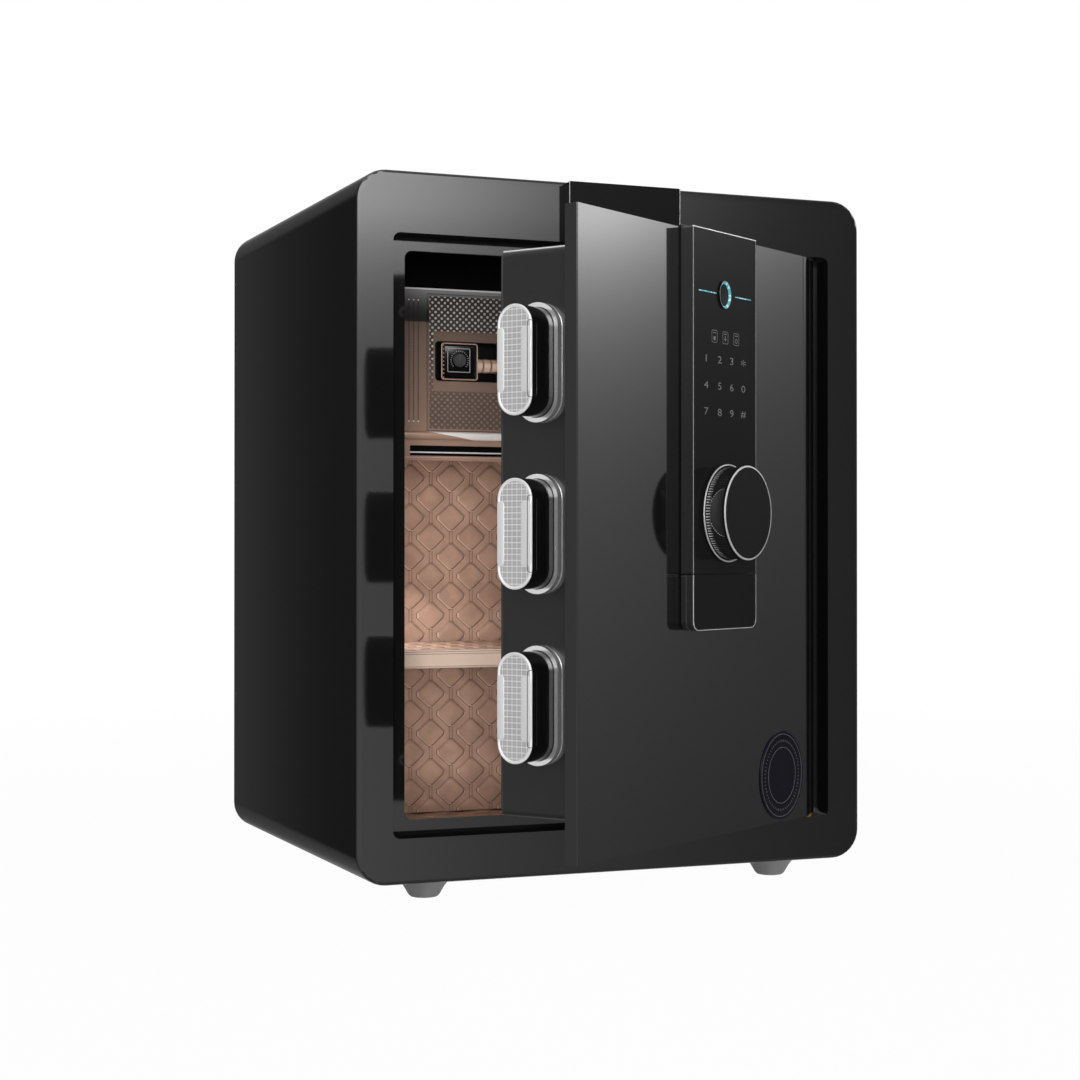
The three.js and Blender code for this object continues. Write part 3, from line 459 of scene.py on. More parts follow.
@dataclass(frozen=True)
class Metal:
    """Polished, satin or brushed metal: fine hairlines along one axis, and clouds of finer and coarser polish."""

    name: str
    colour: Colour
    roughness: float
    hair: float = 0.000004
    stretch: Colour = (1.0, 1.0, 1.0)
    tint: float = 0.06
    metallic: float = 1.0

    def make(self) -> bpy.types.Material:
        """Builds the material: long thin noise gives the hairlines, slow noise the clouds."""
        made, net = material(self.name)
        lines = net.noise(1400, 2.0, self.stretch)
        cloud = net.noise(30, 3.0)
        dark = tuple((1 - self.tint) * c for c in self.colour)
        colour = net.blend(lines * 0.5 + cloud * 0.5, dark, self.colour)
        rough = self.roughness * (0.75 + cloud * 0.5) + lines * self.roughness * 0.25
        net.surface(Base_Color=colour, Roughness=rough, Metallic=self.metallic,
                    Normal=net.bump(lines, self.hair))
        return made


@dataclass(frozen=True)
class Moulding:
    """Moulded plastic with a fine spark-eroded grain."""

    name: str
    colour: Colour
    roughness: float = 0.45
    grain: float = 0.00004

    def make(self) -> bpy.types.Material:
        """Builds the material: cells of a third of a millimetre raise the grain."""
        made, net = material(self.name)
        place = net.node("TexCoord", out="Object")
        cells = net.node("TexVoronoi", None, {"Vector": place, "Scale": 2400.0})
        cloud = net.noise(14, 3.0)
        dark = tuple(0.8 * c for c in self.colour)
        colour = net.blend(cloud, dark, self.colour)
        net.surface(Base_Color=colour, Roughness=self.roughness + cloud * 0.08,
                    Normal=net.bump(cells, self.grain, 0.6))
        return made


@dataclass(frozen=True)
class QuiltCloth:
    """Embossed leather cloth: cut-corner pads between bands of two fine ribs, on the piece's own UV map."""

    name: str
    colour: Colour = (0.56, 0.355, 0.262)
    # shade darkens the pores, the random tone, the knots and the painted shade; light is the painted highlight.
    shade: Colour = (0.060, 0.036, 0.026)
    light: Colour = (0.95, 0.74, 0.60)

    def make(self) -> bpy.types.Material:
        """Builds the material.

        With s the sum and t the difference of the UV pair, each measured from its nearest whole number, a
        pad is the square of half width 0.39 with its corners cut at s + t = 0.673. Its crisp bevel goes into
        bump. Painted light on its lower-left bevel and lower-right edge, and painted shade in the hollow
        round it, go into colour. The small knots where bands cross and the leather's pores go into colour and bump.
        """
        made, net = material(self.name)
        u, v, _ = net.axes("UV")
        s, t = (u + v).signed(), (u - v).signed()
        s_far, t_far = s.math("ABSOLUTE"), t.math("ABSOLUTE")
        edge = (s_far / 0.390).math("MAXIMUM", t_far / 0.390).math("MAXIMUM", (s_far + t_far) / 0.673)
        plateau = 1 - edge.over(0.88, 1.0)
        inside = 1 - edge.over(0.985, 1.0)
        bevel = edge.over(0.88, 0.90) * inside
        # Painted highlight on the lower-left bevel and the lower-right edge, as from light at the lower left;
        # painted shade in the hollow just outside the pad and just inside its lower-right edge.
        lower_left = (0 - s - t_far).over(-0.02, 0.02).math("MAXIMUM", (0 - s - t).over(0.60, 0.63))
        lower_right = (t - s_far).over(-0.02, 0.02)
        lit = bevel * lower_left * 0.8 + edge.near(1.0, 0.05) * lower_right * 0.7
        groove_shade = edge.near(1.035, 0.05) * (0.5 + lower_left * 0.5) * (1 - lower_right)
        groove_shade = groove_shade + edge.near(0.90, 0.05) * lower_right
        u_near, v_near = ((s + t) * 0.5).quarter(), ((s - t) * 0.5).quarter()
        bars = u_near.near(0.035, 0.016) * (1 - v_near.over(0.145, 0.155))
        stops = v_near.near(0.155, 0.014) * (1 - u_near.over(0.05, 0.06))
        knot = bars.math("MAXIMUM", stops) * (1 - inside)
        place = net.node("TexCoord", out="Object")
        pore = net.node("TexVoronoi", {"feature": "DISTANCE_TO_EDGE"}, {"Vector": place, "Scale": 1100.0})
        pores = pore.over(0.0, 0.25)
        cloud = net.noise(45, 4.0)
        colour = net.blend(cloud.over(0.35, 0.65) * 0.25, self.colour, self.shade)
        colour = net.blend((groove_shade * 0.85).math("MINIMUM", 0.9), colour, self.shade)
        colour = net.blend(knot * 0.7, colour, self.shade)
        colour = net.blend((lit * 0.8).math("MINIMUM", 0.9), colour, self.light)
        colour = net.blend((1 - pores) * 0.12, colour, self.shade)
        height = plateau * 0.8 + pores * 0.04 + cloud * 0.05 + knot * 0.15
        net.surface(Base_Color=colour, Roughness=0.42 + cloud * 0.12 + groove_shade * 0.2, Coat_Weight=0.1,
                    Coat_Roughness=0.35, Normal=net.bump(height, 0.0011, 0.9))
        return made


@dataclass(frozen=True)
class FluteMetal:
    """Satin rose metal of the drawer module: painted shade darkening upwards, a painted reflection from black to a
    bright top edge, and dotted grooves in painted shade.
    """

    name: str
    foot: Colour
    head: Colour
    low: float = 0.2989
    high: float = 0.3838
    crest: float = 0.4077
    columns: tuple[float, ...] = (-0.0984, -0.0949, -0.0915)
    rows: tuple[float, float] = (0.3146, 0.3982)

    def make(self) -> bpy.types.Material:
        """Builds the material: painted shade and reflection follow height, and a dot is where folded height and
        column are both near.
        """
        made, net = material(self.name)
        x, _, z = net.axes()
        low, high = self.rows
        inside = z.over(low - 0.0003, low) * (1 - z.over(high, high + 0.0003))
        dots = None
        for column in self.columns:
            one = x.near(column, 0.0006)
            dots = one if dots is None else dots.math("MAXIMUM", one)
        # The dotted grooves are painted near-black as their shade, and pressed in by the bump.
        mask = dots.over(0.1, 0.5) * (z * 950.0).fold().over(0.10, 0.2) * inside
        # Painted highlights at the upper and lower ends of the dotted grooves.
        ends = dots.over(0.0, 0.3) * z.near(high + 0.0008, 0.0006).math("MAXIMUM", z.near(low - 0.0008, 0.0006))
        lines = net.noise(900, 2.0, (1.0, 1.0, 0.03))
        cloud = net.noise(35, 3.0)
        # Painted shade: from the light foot colour low down to the dark head colour higher up.
        painted_light_by_height = net.blend(((z - self.low) / (self.high - self.low)).math("MAXIMUM", 0.0) ** 0.6,
                         self.foot, self.head)
        # Painted reflection on the rounded top edge: from black just above the head up to white at the crest, weaker
        # towards the right.
        bloom = ((z - self.high) / (self.crest - self.high)).math("MAXIMUM", 0.0)
        shine = bloom ** 2.4 * (1 - x.over(-0.158, -0.138) * 0.65)
        crest = net.blend(shine, (0.006, 0.006, 0.006), (0.90, 0.90, 0.90))
        painted_light_by_height = net.blend(z.over(self.high - 0.0006, self.high + 0.0006), painted_light_by_height, crest)
        colour = net.blend(cloud * 0.2, painted_light_by_height, (0.03, 0.02, 0.016))
        colour = net.blend(mask * 0.85, colour, (0.012, 0.010, 0.009))
        colour = net.blend(ends.over(0.1, 0.4), colour, (0.75, 0.70, 0.66))
        net.surface(Base_Color=colour, Roughness=0.5 + cloud * 0.1 + lines * 0.06, Metallic=0.15,
                    Normal=net.bump(lines * 0.1 - mask, 0.0001, 0.7))
        return made


@dataclass(frozen=True)
class BeadMetal:
    """Rose metal with rows of small beads whose painted highlights are silver, as a painted reflection, towards the
    top and faint towards the bottom.
    """

    name: str
    across: float = 2.3
    up: float = 2.2
    middle: float = 0.356

    def make(self) -> bpy.types.Material:
        """Builds the material: a bead is where the product of two cosines of the place is near 1."""
        made, net = material(self.name)
        x, _, z = net.axes()
        wave = (((x * 1000 + 180) * (math.pi / self.across)).math("COSINE")
                * ((z * 1000 - 12.6) * (math.pi / self.up)).math("COSINE"))
        bead = wave.over(0.15, 0.65)
        # Painted reflection: above the middle the field is darker and the beads' painted highlights are silver;
        # below, both are faint rose.
        high = z.over(self.middle - 0.02, self.middle + 0.01)
        field = net.blend(high, (0.125, 0.086, 0.067), (0.040, 0.036, 0.033))
        tip = net.blend(high, (0.27, 0.205, 0.168), (0.62, 0.58, 0.55))
        cloud = net.noise(60, 3.0)
        colour = net.blend(bead * (0.75 + cloud * 0.25), field, tip)
        net.surface(Base_Color=colour, Roughness=0.55 - bead * 0.15, Metallic=0.2,
                    Normal=net.bump(bead, 0.0004, 0.6))
        return made


@dataclass(frozen=True)
class LedgeMetal:
    """Polished rose bar with a painted reflection: a white wedge that widens to the right."""

    name: str
    start: float = -0.086
    slope: float = 0.165
    top: float = 0.3068

    def make(self) -> bpy.types.Material:
        """Builds the material.

        The painted reflection is a wedge, where the way along it times a slope exceeds the depth below the top.
        """
        made, net = material(self.name)
        x, _, z = net.axes()
        wedge = ((x - self.start) * self.slope - (self.top - z)).over(-0.0002, 0.0003)
        cloud = net.noise(40, 3.0)
        rose = net.blend(cloud, (0.36, 0.225, 0.165), (0.42, 0.27, 0.20))
        # The white wedge is a painted reflection.
        colour = net.blend(wedge, rose, (0.86, 0.82, 0.78))
        net.surface(Base_Color=colour, Roughness=0.35 + cloud * 0.1, Metallic=0.1)
        return made


@dataclass(frozen=True)
class BoltFace:
    """Bright end of a bolt: a fine woven knurl of small squares with a dot in each."""

    name: str
    pitch: float = 3.4
    colour: Colour = (0.84, 0.84, 0.84)

    def make(self) -> bpy.types.Material:
        """Builds the material: folded UV numbers give the squares, their threads and the dots.

        The plain rim is where the distance to the plate's upright middle line is more than 10 mm.
        """
        made, net = material(self.name)
        u, v, _ = net.axes("UV")
        p, q = (u / self.pitch).fold(), (v / self.pitch).fold()
        threads = (p.near(0.5, 0.13) + q.near(0.5, 0.16)).math("MINIMUM", 1.0)
        a, b = (u * 2 / self.pitch).fold(), (v * 2 / self.pitch).fold()
        knot = a.near(0.5, 0.3) * b.near(0.5, 0.3)
        rise = (v.math("ABSOLUTE") - 20.1).math("MAXIMUM", 0.0)
        rim = (u * u + rise * rise).math("SQRT").over(9.9, 10.3)
        cloud = net.noise(60, 2.0)
        base = net.blend(cloud, tuple(0.48 * c for c in self.colour), tuple(0.60 * c for c in self.colour))
        colour = net.blend(threads * 0.75, base, self.colour)
        colour = net.blend(knot * (1 - threads) * 0.7, colour, tuple(0.3 * c for c in self.colour))
        colour = net.blend(knot * threads * 0.8, colour, (0.95, 0.95, 0.95))
        colour = net.blend(rim, colour, (0.80, 0.80, 0.80))
        net.surface(Base_Color=colour, Roughness=0.42 + cloud * 0.06, Metallic=0.3,
                    Normal=net.bump((threads * 0.7 - knot) * (1 - rim), 0.00012, 0.7))
        return made


@dataclass(frozen=True)
class Teeth:
    """A toothed ring: painted highlights on the tips between valleys in painted shade, counted by the UV map."""

    name: str

    def make(self) -> bpy.types.Material:
        """Builds the material: a tooth's highlight is where the folded first UV number is near a half."""
        made, net = material(self.name)
        u, v, _ = net.axes("UV")
        tip = u.fold().over(0.30, 0.40) * v.over(0.06, 0.1)
        cloud = net.noise(300, 2.0)
        # Painted highlight on the tips, fading with the second UV number, on near-black painted shade.
        colour = net.blend(tip * (1.0 - v).math("MAXIMUM", 0.0), (0.004, 0.004, 0.004), (0.80, 0.80, 0.81))
        net.surface(Base_Color=colour, Roughness=0.4 + cloud * 0.15, Normal=net.bump(tip, 0.0002))
        return made


@dataclass(frozen=True)
class Glow:
    """A lit light guide: small brighter cells along it."""

    name: str
    colour: Colour
    strength: float
    beat: float = 420.0

    def make(self) -> bpy.types.Material:
        """Builds the material: noise breaks the light into cells."""
        made, net = material(self.name)
        cells = net.noise(self.beat, 0.0).over(0.54, 0.58)
        light = net.blend(cells * 0.7, self.colour, (0.75, 0.95, 0.97))
        net.surface(Base_Color=tuple(0.3 * c for c in self.colour), Roughness=0.35,
                    Emission_Color=light, Emission_Strength=self.strength)
        return made


@dataclass(frozen=True)
class Ink:
    """Screen-printed ink with a faint mesh."""

    name: str
    colour: Colour

    def make(self) -> bpy.types.Material:
        """Builds the material: noise thins the ink a little."""
        made, net = material(self.name)
        thin = net.noise(1800, 2.0)
        colour = net.blend(thin, tuple(0.75 * c for c in self.colour), self.colour)
        net.surface(Base_Color=colour, Roughness=0.4 + thin * 0.1)
        return made


@dataclass(frozen=True)
class Laminate:
    """Green circuit board: solder mask over copper tracks, with tinned pads."""

    name: str

    def make(self) -> bpy.types.Material:
        """Builds the material: folded coordinates give tracks and pads."""
        made, net = material(self.name)
        x, _, z = net.axes()
        track = (z * 260 + net.noise(40, 0.0) * 3).fold().near(0.5, 0.12)
        pad = (x * 200).fold().near(0.0, 0.2) * (z * 200).fold().near(0.0, 0.2)
        colour = net.blend(track * 0.7, (0.012, 0.085, 0.035), (0.03, 0.17, 0.07))
        colour = net.blend(pad.over(0.3, 0.5), colour, (0.6, 0.58, 0.5))
        net.surface(Base_Color=colour, Roughness=0.35 + track * 0.1, Metallic=pad.over(0.3, 0.5),
                    Normal=net.bump(track, 0.00004))
        return made


@dataclass(frozen=True)
class Sleeve:
    """Shrink sleeve of a battery cell: a coloured body with a plain copper end band."""

    name: str
    body: Colour = (0.02, 0.06, 0.16)
    band: Colour = (0.55, 0.30, 0.14)
    split: float = 0.150

    def make(self) -> bpy.types.Material:
        """Builds the material: the band starts at one height, and a seam's noise dulls the sleeve."""
        made, net = material(self.name)
        _, _, z = net.axes()
        cloud = net.noise(120, 2.0)
        colour = net.blend(cloud, tuple(0.7 * c for c in self.body), self.body)
        colour = net.blend(z.over(self.split, self.split + 0.0003), colour, self.band)
        net.surface(Base_Color=colour, Roughness=0.25 + cloud * 0.15)
        return made


class Finish(Enum):
    """Every finish of the safe, by what it is on."""

    BODY_PAINT = Lacquer("body_paint")
    DOOR_PAINT = Lacquer("door_paint", roughness=0.08)
    SATIN_PAINT = Lacquer("satin_paint", roughness=0.42, level=0.40, peel=0.00003)
    INNER_PAINT = Lacquer("inner_paint", (0.0030, 0.0030, 0.0031), 0.30, 0.10)
    PANEL_GLOSS = Lacquer("panel_gloss", (0.0108, 0.0110, 0.0112), 0.08, 0.022, 0.000003, 0.2)
    # A lighter copy of the panel lacquer for the faces that look sideways, painting the light on the panel's sides.
    PANEL_SIDE = Lacquer("panel_side_lit", (0.0165, 0.0165, 0.0168), 0.25, 0.5, 0.00001, 0.3)
    BOLT_BLACK = Lacquer("bolt_black", (0.0045, 0.0045, 0.0047), 0.14, 0.4, 0.00001, 0.3)
    KNOB_BLACK = Lacquer("knob_black", (0.0080, 0.0080, 0.0082), 0.30, 0.03, 0.000004, 0.3)
    GRIP_BLACK = Lacquer("grip_black", (0.0120, 0.0120, 0.0122), 0.34, 0.12, 0.000004, 0.3)
    DIAL_GREY = Lacquer("dial_grey", (0.040, 0.040, 0.042), 0.35, 0.5, 0.000004, 0.3)
    NAVY = Lacquer("navy_enamel", (0.0036, 0.0038, 0.0078), 0.2, 0.06, 0.000004, 0.3)
    EDGE = Metal("edge_metal", (0.20, 0.20, 0.205), 0.45, metallic=0.35)
    # Near-white, for thin lines that paint highlights on edges, and for the slot's chrome rail painted near-white as
    # its highlight.
    EDGE_BRIGHT = Metal("edge_painted_highlight", (0.92, 0.92, 0.92), 0.40, metallic=0.35)
    RIM = Metal("rim_metal", (0.44, 0.44, 0.45), 0.45, metallic=0.25)
    # The chrome's colour is darkened to grey, painting the shade that the feet reflect under the body.
    FOOT = Metal("foot_chrome", (0.27, 0.27, 0.275), 0.30, metallic=0.6)
    COLLAR = Metal("collar_chrome", (0.95, 0.95, 0.95), 0.12, metallic=0.82)
    SATIN_CHROME = Metal("satin_chrome", (0.72, 0.72, 0.73), 0.22)
    STEEL = Metal("brushed_steel", (0.50, 0.50, 0.51), 0.3, 0.00001, (1.0, 1.0, 0.05))
    CREAM_METAL = Metal("cream_satin", (0.93, 0.72, 0.58), 0.42, 0.00001, (0.03, 1.0, 1.0), 0.05, 0.25)
    # foot and head are the light and dark ends of the painted shading that darkens the fascia upwards.
    ROSE_GOLD = FluteMetal("rose_gold_satin", (0.40, 0.255, 0.19), (0.135, 0.092, 0.072))
    ROSE_PLAIN = Metal("rose_gold_polished", (0.62, 0.42, 0.33), 0.35, 0.00001, (0.05, 1.0, 1.0), metallic=0.3)
    ROSE_THIN = Metal("rose_gold_line", (0.30, 0.22, 0.19), 0.4, metallic=0.3)
    WEAVE = BeadMetal("rose_gold_beads")
    LEDGE = LedgeMetal("rose_gold_ledge")
    # Brass darkened far below its own colour, painting the shade in the hinge gap.
    DIM_BRASS = Metal("dim_brass", (0.10, 0.065, 0.03), 0.35, metallic=0.4)
    QUILT = QuiltCloth("quilted_leather_cloth")
    PLASTIC = Moulding("black_plastic", (0.014, 0.014, 0.015))
    RED = Moulding("red_plastic", (0.42, 0.022, 0.02), 0.3)
    BOLT_FACE = BoltFace("bolt_face")
    BOLT_RIB = Metal("bolt_rib", (0.73, 0.73, 0.73), 0.45, 0.00001, (1.0, 1.0, 0.1), 0.06, 0.3)
    WHEEL = Metal("wheel_rose", (0.80, 0.56, 0.44), 0.35, 0.00001, (1.0, 0.05, 1.0), metallic=0.15)
    TEETH = Teeth("ring_teeth")
    BOARD = Laminate("circuit_board")
    CELL = Sleeve("battery_sleeve")
    LEGEND = Ink("legend_ink", (0.10, 0.104, 0.108))
    CYAN = Glow("cyan_light", (0.03, 0.36, 0.42), 0.8)

    @property
    def material(self) -> bpy.types.Material:
        """The material, made on first use."""
        return bpy.data.materials.get(self.value.name) or self.value.make()


# Pieces


def finished(name: str, shape: Shape, place: Place, body: str, finish: Finish,
             angle: float = 40.0, replaces: tuple[str, ...] = ()) -> bpy.types.Object:
    """Makes a closed piece from a shape, smooth across edges flatter than an angle.

    Args:
        name: the piece's name.
        shape: its points in the place's axes.
        place: the axes that it is drawn in.
        body: the CAD body that it rides on.
        finish: its finish.
        angle: edges sharper than this stay sharp, in degrees.
        replaces: CAD nodes that it stands for.

    Returns:
        The new object, at the origin.
    """
    mesh = bpy.data.meshes.new(name)
    mesh.from_pydata(place.lay(shape.points).tolist(), [], shape.faces)
    if shape.uv is not None:
        layer = mesh.uv_layers.new(name="UVMap")
        corners = np.empty(len(mesh.loops), dtype=np.int32)
        mesh.loops.foreach_get("vertex_index", corners)
        layer.data.foreach_set("uv", shape.uv[corners].astype(np.float32).ravel())
    _welded(mesh, 1e-7, True)
    return _dressed(name, mesh, body, finish, angle, replaces)


def refined(node: str, name: str, body: str, finish: Finish, angle: float = 30.0,
            soften: float = 0.0, rest: Finish | None = None,
            facing: Colour = (0.0, -1.0, 0.0)) -> bpy.types.Object:
    """Stands a merged and smooth-shaded copy for a CAD node, so that its curves don't show facets.

    Args:
        node: the CAD node.
        name: the new piece's name.
        body: the CAD body that it rides on.
        finish: its finish.
        angle: edges sharper than this stay sharp, in degrees.
        soften: width of the small round put on its sharp edges, in millimetres.
        rest: finish of the faces that look more than 25 degrees away from facing.
        facing: direction of the faces that have the first finish.

    Returns:
        The new object, at the origin.
    """
    mesh = FRAME["nodes"][node].data.copy()
    mesh.name = name
    _welded(mesh, 2e-6, False)
    for stale in [a.name for a in mesh.attributes if a.name == "custom_normal"]:
        mesh.attributes.remove(mesh.attributes[stale])
    made = _dressed(name, mesh, body, finish, angle, (node,))
    if rest is not None:
        mesh.materials.append(rest.material)
        normals = np.empty(len(mesh.polygons) * 3, np.float32)
        mesh.polygons.foreach_get("normal", normals)
        away = normals.reshape(-1, 3) @ np.array(facing) < math.cos(math.radians(25))
        mesh.polygons.foreach_set("material_index", away.astype(np.int32))
    if soften:
        bevel = made.modifiers.new("edge", "BEVEL")
        bevel.width = soften / 1000
        bevel.segments = 3
        bevel.limit_method = "ANGLE"
        bevel.angle_limit = math.radians(angle)
        bevel.use_clamp_overlap = True
    flat = made.modifiers.new("flat", "WEIGHTED_NORMAL")
    flat.weight = 100
    flat.keep_sharp = True
    return made


def _welded(mesh: bpy.types.Mesh, reach: float, outward: bool) -> None:
    """Merges points that are nearer than a reach in metres, and can turn the faces outward."""
    work = bmesh.new()
    work.from_mesh(mesh)
    bmesh.ops.remove_doubles(work, verts=work.verts, dist=reach)
    if outward:
        bmesh.ops.recalc_face_normals(work, faces=work.faces)
    work.to_mesh(mesh)
    work.free()


def _dressed(name: str, mesh: bpy.types.Mesh, body: str, finish: Finish, angle: float,
             replaces: tuple[str, ...]) -> bpy.types.Object:
    """Puts a mesh into the scene with its finish, shading and body."""
    mesh.materials.clear()
    mesh.materials.append(finish.material)
    mesh.polygons.foreach_set("use_smooth", np.ones(len(mesh.polygons), dtype=bool))
    mesh.set_sharp_from_angle(angle=math.radians(angle))
    mesh.update()
    made = bpy.data.objects.new(name, mesh)
    bpy.context.scene.collection.objects.link(made)
    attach(made, body)
    if replaces:
        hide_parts(*replaces)
    LOG.info("%s: %d faces", name, len(mesh.polygons))
    return made


def repaint(finish: Finish, *nodes: str) -> None:
    """Gives CAD nodes another finish and leaves their shape alone."""
    for node in nodes:
        target = FRAME["nodes"][node]
        for slot in target.material_slots:
            slot.material = finish.material


FRAME: dict = {}


# Studio


# Name, place, aim, width, height and power of each lamp. The last four stand in the compartments, where the
# photograph shows light on the lining and the shelf.
LAMPS = (
    ("key", (-1.62, -4.28, 0.36), (-0.06, 0.0, 0.22), 0.9, 0.9, 145.0),
    ("fill", (1.6, -2.2, 1.0), (0.0, 0.0, 0.2), 1.8, 1.8, 10.0),
    ("room", (0.070, -0.004, 0.20), (-0.10, 0.222, 0.20), 0.03, 0.30, 0.20),
    ("left_high", (-0.166, 0.10, 0.225), (-0.13, 0.222, 0.215), 0.02, 0.12, 0.028),
    ("left_low", (-0.166, 0.10, 0.085), (-0.13, 0.222, 0.085), 0.02, 0.09, 0.022),
    ("shelf", (-0.095, 0.14, 0.195), (-0.0951, 0.14, 0.153), 0.14, 0.11, 0.10),
)

# Brightness of the surroundings at the horizon, by azimuth in degrees from the front towards the right.
HORIZON = (
    (-180, 0.12), (-168, 0.12), (-165.8, 0.10), (-164.3, 0.042), (-163.1, 0.027), (-150, 0.08), (-130, 0.5),
    (-105, 0.62), (-80, 0.7), (-50, 0.95), (-10, 1.15), (14, 1.2), (17.6, 1.1), (20.8, 0.75), (26.5, 0.45),
    (30.4, 0.23), (40, 0.22), (65, 0.4), (85, 0.7), (88.9, 0.58), (91, 0.42), (94.3, 0.28), (110, 0.2),
    (140, 0.35), (165, 0.3), (180, 0.1),
)


@dataclass
class Studio:
    """Camera, white surroundings, floor and lamps of the photograph."""

    lens: float = 70.353
    spot: Colour = (-0.57136, -1.34204, 0.2222)
    aim: Colour = (90.32, 0.0, -22.18)
    far: float = 40.0
    floor: float = 9.0
    box: float = 4.9
    ceiling: float = 1.3

    def camera(self) -> None:
        """Sets up the camera that the photograph was taken with."""
        data = bpy.data.cameras.new("camera")
        data.lens = self.lens
        data.sensor_width = 36.0
        data.clip_start, data.clip_end = 0.01, 100.0
        made = bpy.data.objects.new("camera", data)
        made.location = self.spot
        made.rotation_euler = [math.radians(a) for a in self.aim]
        bpy.context.scene.collection.objects.link(made)
        bpy.context.scene.camera = made

    def world(self) -> None:
        """White for what the camera, metal and glass see, and an even grey that lights the rest."""
        world = bpy.data.worlds.new("studio")
        bpy.context.scene.world = world
        net = Net(world)
        seen = self._seen(net)
        shader = net.node("Background", None, {"Color": (1.0, 1.0, 1.0), "Strength": 0.28 + seen * 0.72})
        net.node("OutputWorld", None, {"Surface": shader})

    @staticmethod
    def _seen(net: Net) -> Value:
        """1 for camera, glossy and transmission rays."""
        rays = [net.node("LightPath", out=name) for name in
                ("Is Camera Ray", "Is Glossy Ray", "Is Transmission Ray")]
        return (rays[0] + rays[1] + rays[2]).math("MINIMUM", 1.0)

    @staticmethod
    def _object(name: str, shape: Shape) -> tuple[bpy.types.Object, Net]:
        """An object of the studio made from a shape, and the net of its new material."""
        mesh = bpy.data.meshes.new(name)
        mesh.from_pydata(shape.points.tolist(), [], shape.faces)
        coat, net = material(name)
        mesh.materials.append(coat)
        made = bpy.data.objects.new(name, mesh)
        bpy.context.scene.collection.objects.link(made)
        return made, net

    def ground(self) -> None:
        """A round floor that shows the object's faint shadow and fades to the white round it."""
        angle = np.linspace(0, 2 * math.pi, 64, endpoint=False)
        radius = np.array([0.0, 0.5, 1.0, 2.0, 4.0, self.floor])[:, None]
        points = np.stack([radius * np.cos(angle), radius * np.sin(angle), 0 * radius * angle], -1)
        shape = grid(points, wrap_columns=True)
        floor, net = self._object("floor", Shape(shape.points, [face[::-1] for face in shape.faces]))
        x, y, _ = net.axes()
        away = (x * x + y * y).math("SQRT").over(0.5, 2.2)
        plain = net.node("BsdfDiffuse", None, {"Color": (0.9, 0.9, 0.9)})
        glow = net.node("Emission", None, {"Color": (1.0, 1.0, 1.0), "Strength": 1.0})
        share = self._seen(net) * (0.975 + away * 0.025)
        shader = net.node("MixShader", None, {0: share, 1: plain, 2: glow})
        net.node("OutputMaterial", None, {"Surface": shader})
        floor.visible_glossy = False

    def surroundings(self) -> None:
        """A wide shell that only reflections see: a white studio with two soft boxes and dark flags."""
        turn = np.linspace(0, 2 * math.pi, 72, endpoint=False)
        rise = np.linspace(-math.pi / 2, math.pi / 2, 37)[:, None]
        points = np.stack([np.cos(rise) * np.cos(turn), np.cos(rise) * np.sin(turn),
                           np.sin(rise) + 0 * turn], -1)
        shell, net = self._object("surroundings", grid(points * self.far, wrap_columns=True))
        shell.data.materials[0].cycles.emission_sampling = "NONE"
        shader = net.node("Emission", None, {"Color": (1.0, 1.0, 1.0), "Strength": self._level(net)})
        net.node("OutputMaterial", None, {"Surface": shader})
        for rays in ("camera", "diffuse", "shadow", "transmission", "volume_scatter"):
            setattr(shell, f"visible_{rays}", False)

    def _level(self, net: Net) -> Value:
        """Brightness of the surroundings over azimuth and height.

        Azimuth is measured from the front towards the right, height from the horizon. The level is a ramp
        over azimuth, plus a soft box high at the front left and one high at the right. Each grows
        exponentially with height up to its lower edge and then stays even. Floor and ceiling have their own.
        """
        x, y, z = net.axes()
        degrees = 180 / math.pi
        azimuth = x.math("ARCTAN2", 0 - y) * degrees
        height = (z / self.far).math("MAXIMUM", -1.0).math("MINIMUM", 1.0).math("ARCSINE") * degrees
        ramp = net.node("ValToRGB", {"stops": [((a + 180) / 360, (g / 2,) * 3) for a, g in HORIZON]},
                        {0: azimuth / 360 + 0.5}) * 2
        slope = (height.math("MAXIMUM", -12.0).math("MINIMUM", 5.0) * 0.06).math("EXPONENT")
        door = azimuth.over(70, 84) * (1 - azimuth.over(100, 120))
        level = ramp * (1 + door * (slope - 1))
        front = (0 - (((azimuth - 15.5).math("MAXIMUM", 0.0) / 6.8) ** 2)).math("EXPONENT")
        front = front * azimuth.over(-60, -35)
        lift = ((height.math("MINIMUM", 9.9) - 9.4) * 0.62).math("EXPONENT")
        level = level + front * lift * self.box * (1 - height.over(30, 45))
        side = ((88.9 - azimuth).math("MINIMUM", 0.0) * 0.27).math("EXPONENT") * azimuth.over(55, 75)
        side = side * (1 - azimuth.over(125, 150))
        climb = ((height.math("MINIMUM", 9.6) - 9.1) * 0.55).math("EXPONENT")
        level = level + side * climb * self.box * (1 - height.over(30, 45))
        below = (0 - height).over(14, 35)
        level = level * (1 - below) + below * (0.28 + azimuth.over(-90, 60) * 0.25)
        above = height.over(22, 55)
        return level * (1 - above) + above * self.ceiling

    def lamps(self) -> None:
        """The soft key and fill in front, and the small lamps in the compartments."""
        for name, spot, aim, size, tall, power in LAMPS:
            data = bpy.data.lights.new(name, "AREA")
            data.shape = "RECTANGLE"
            data.size, data.size_y = size, tall
            data.energy = power
            made = bpy.data.objects.new(name, data)
            made.location = spot
            way = np.array(aim) - np.array(spot)
            flat = math.hypot(way[0], way[1])
            made.rotation_euler = (math.atan2(flat, -way[2]), 0.0, math.atan2(-way[0], way[1]))
            made.visible_glossy = False
            made.visible_camera = False
            bpy.context.scene.collection.objects.link(made)

    def build(self) -> None:
        """Builds the whole studio."""
        bpy.context.scene.view_settings.view_transform = "Standard"
        self.camera()
        self.world()
        self.ground()
        self.surroundings()
        self.lamps()


# Cabinet


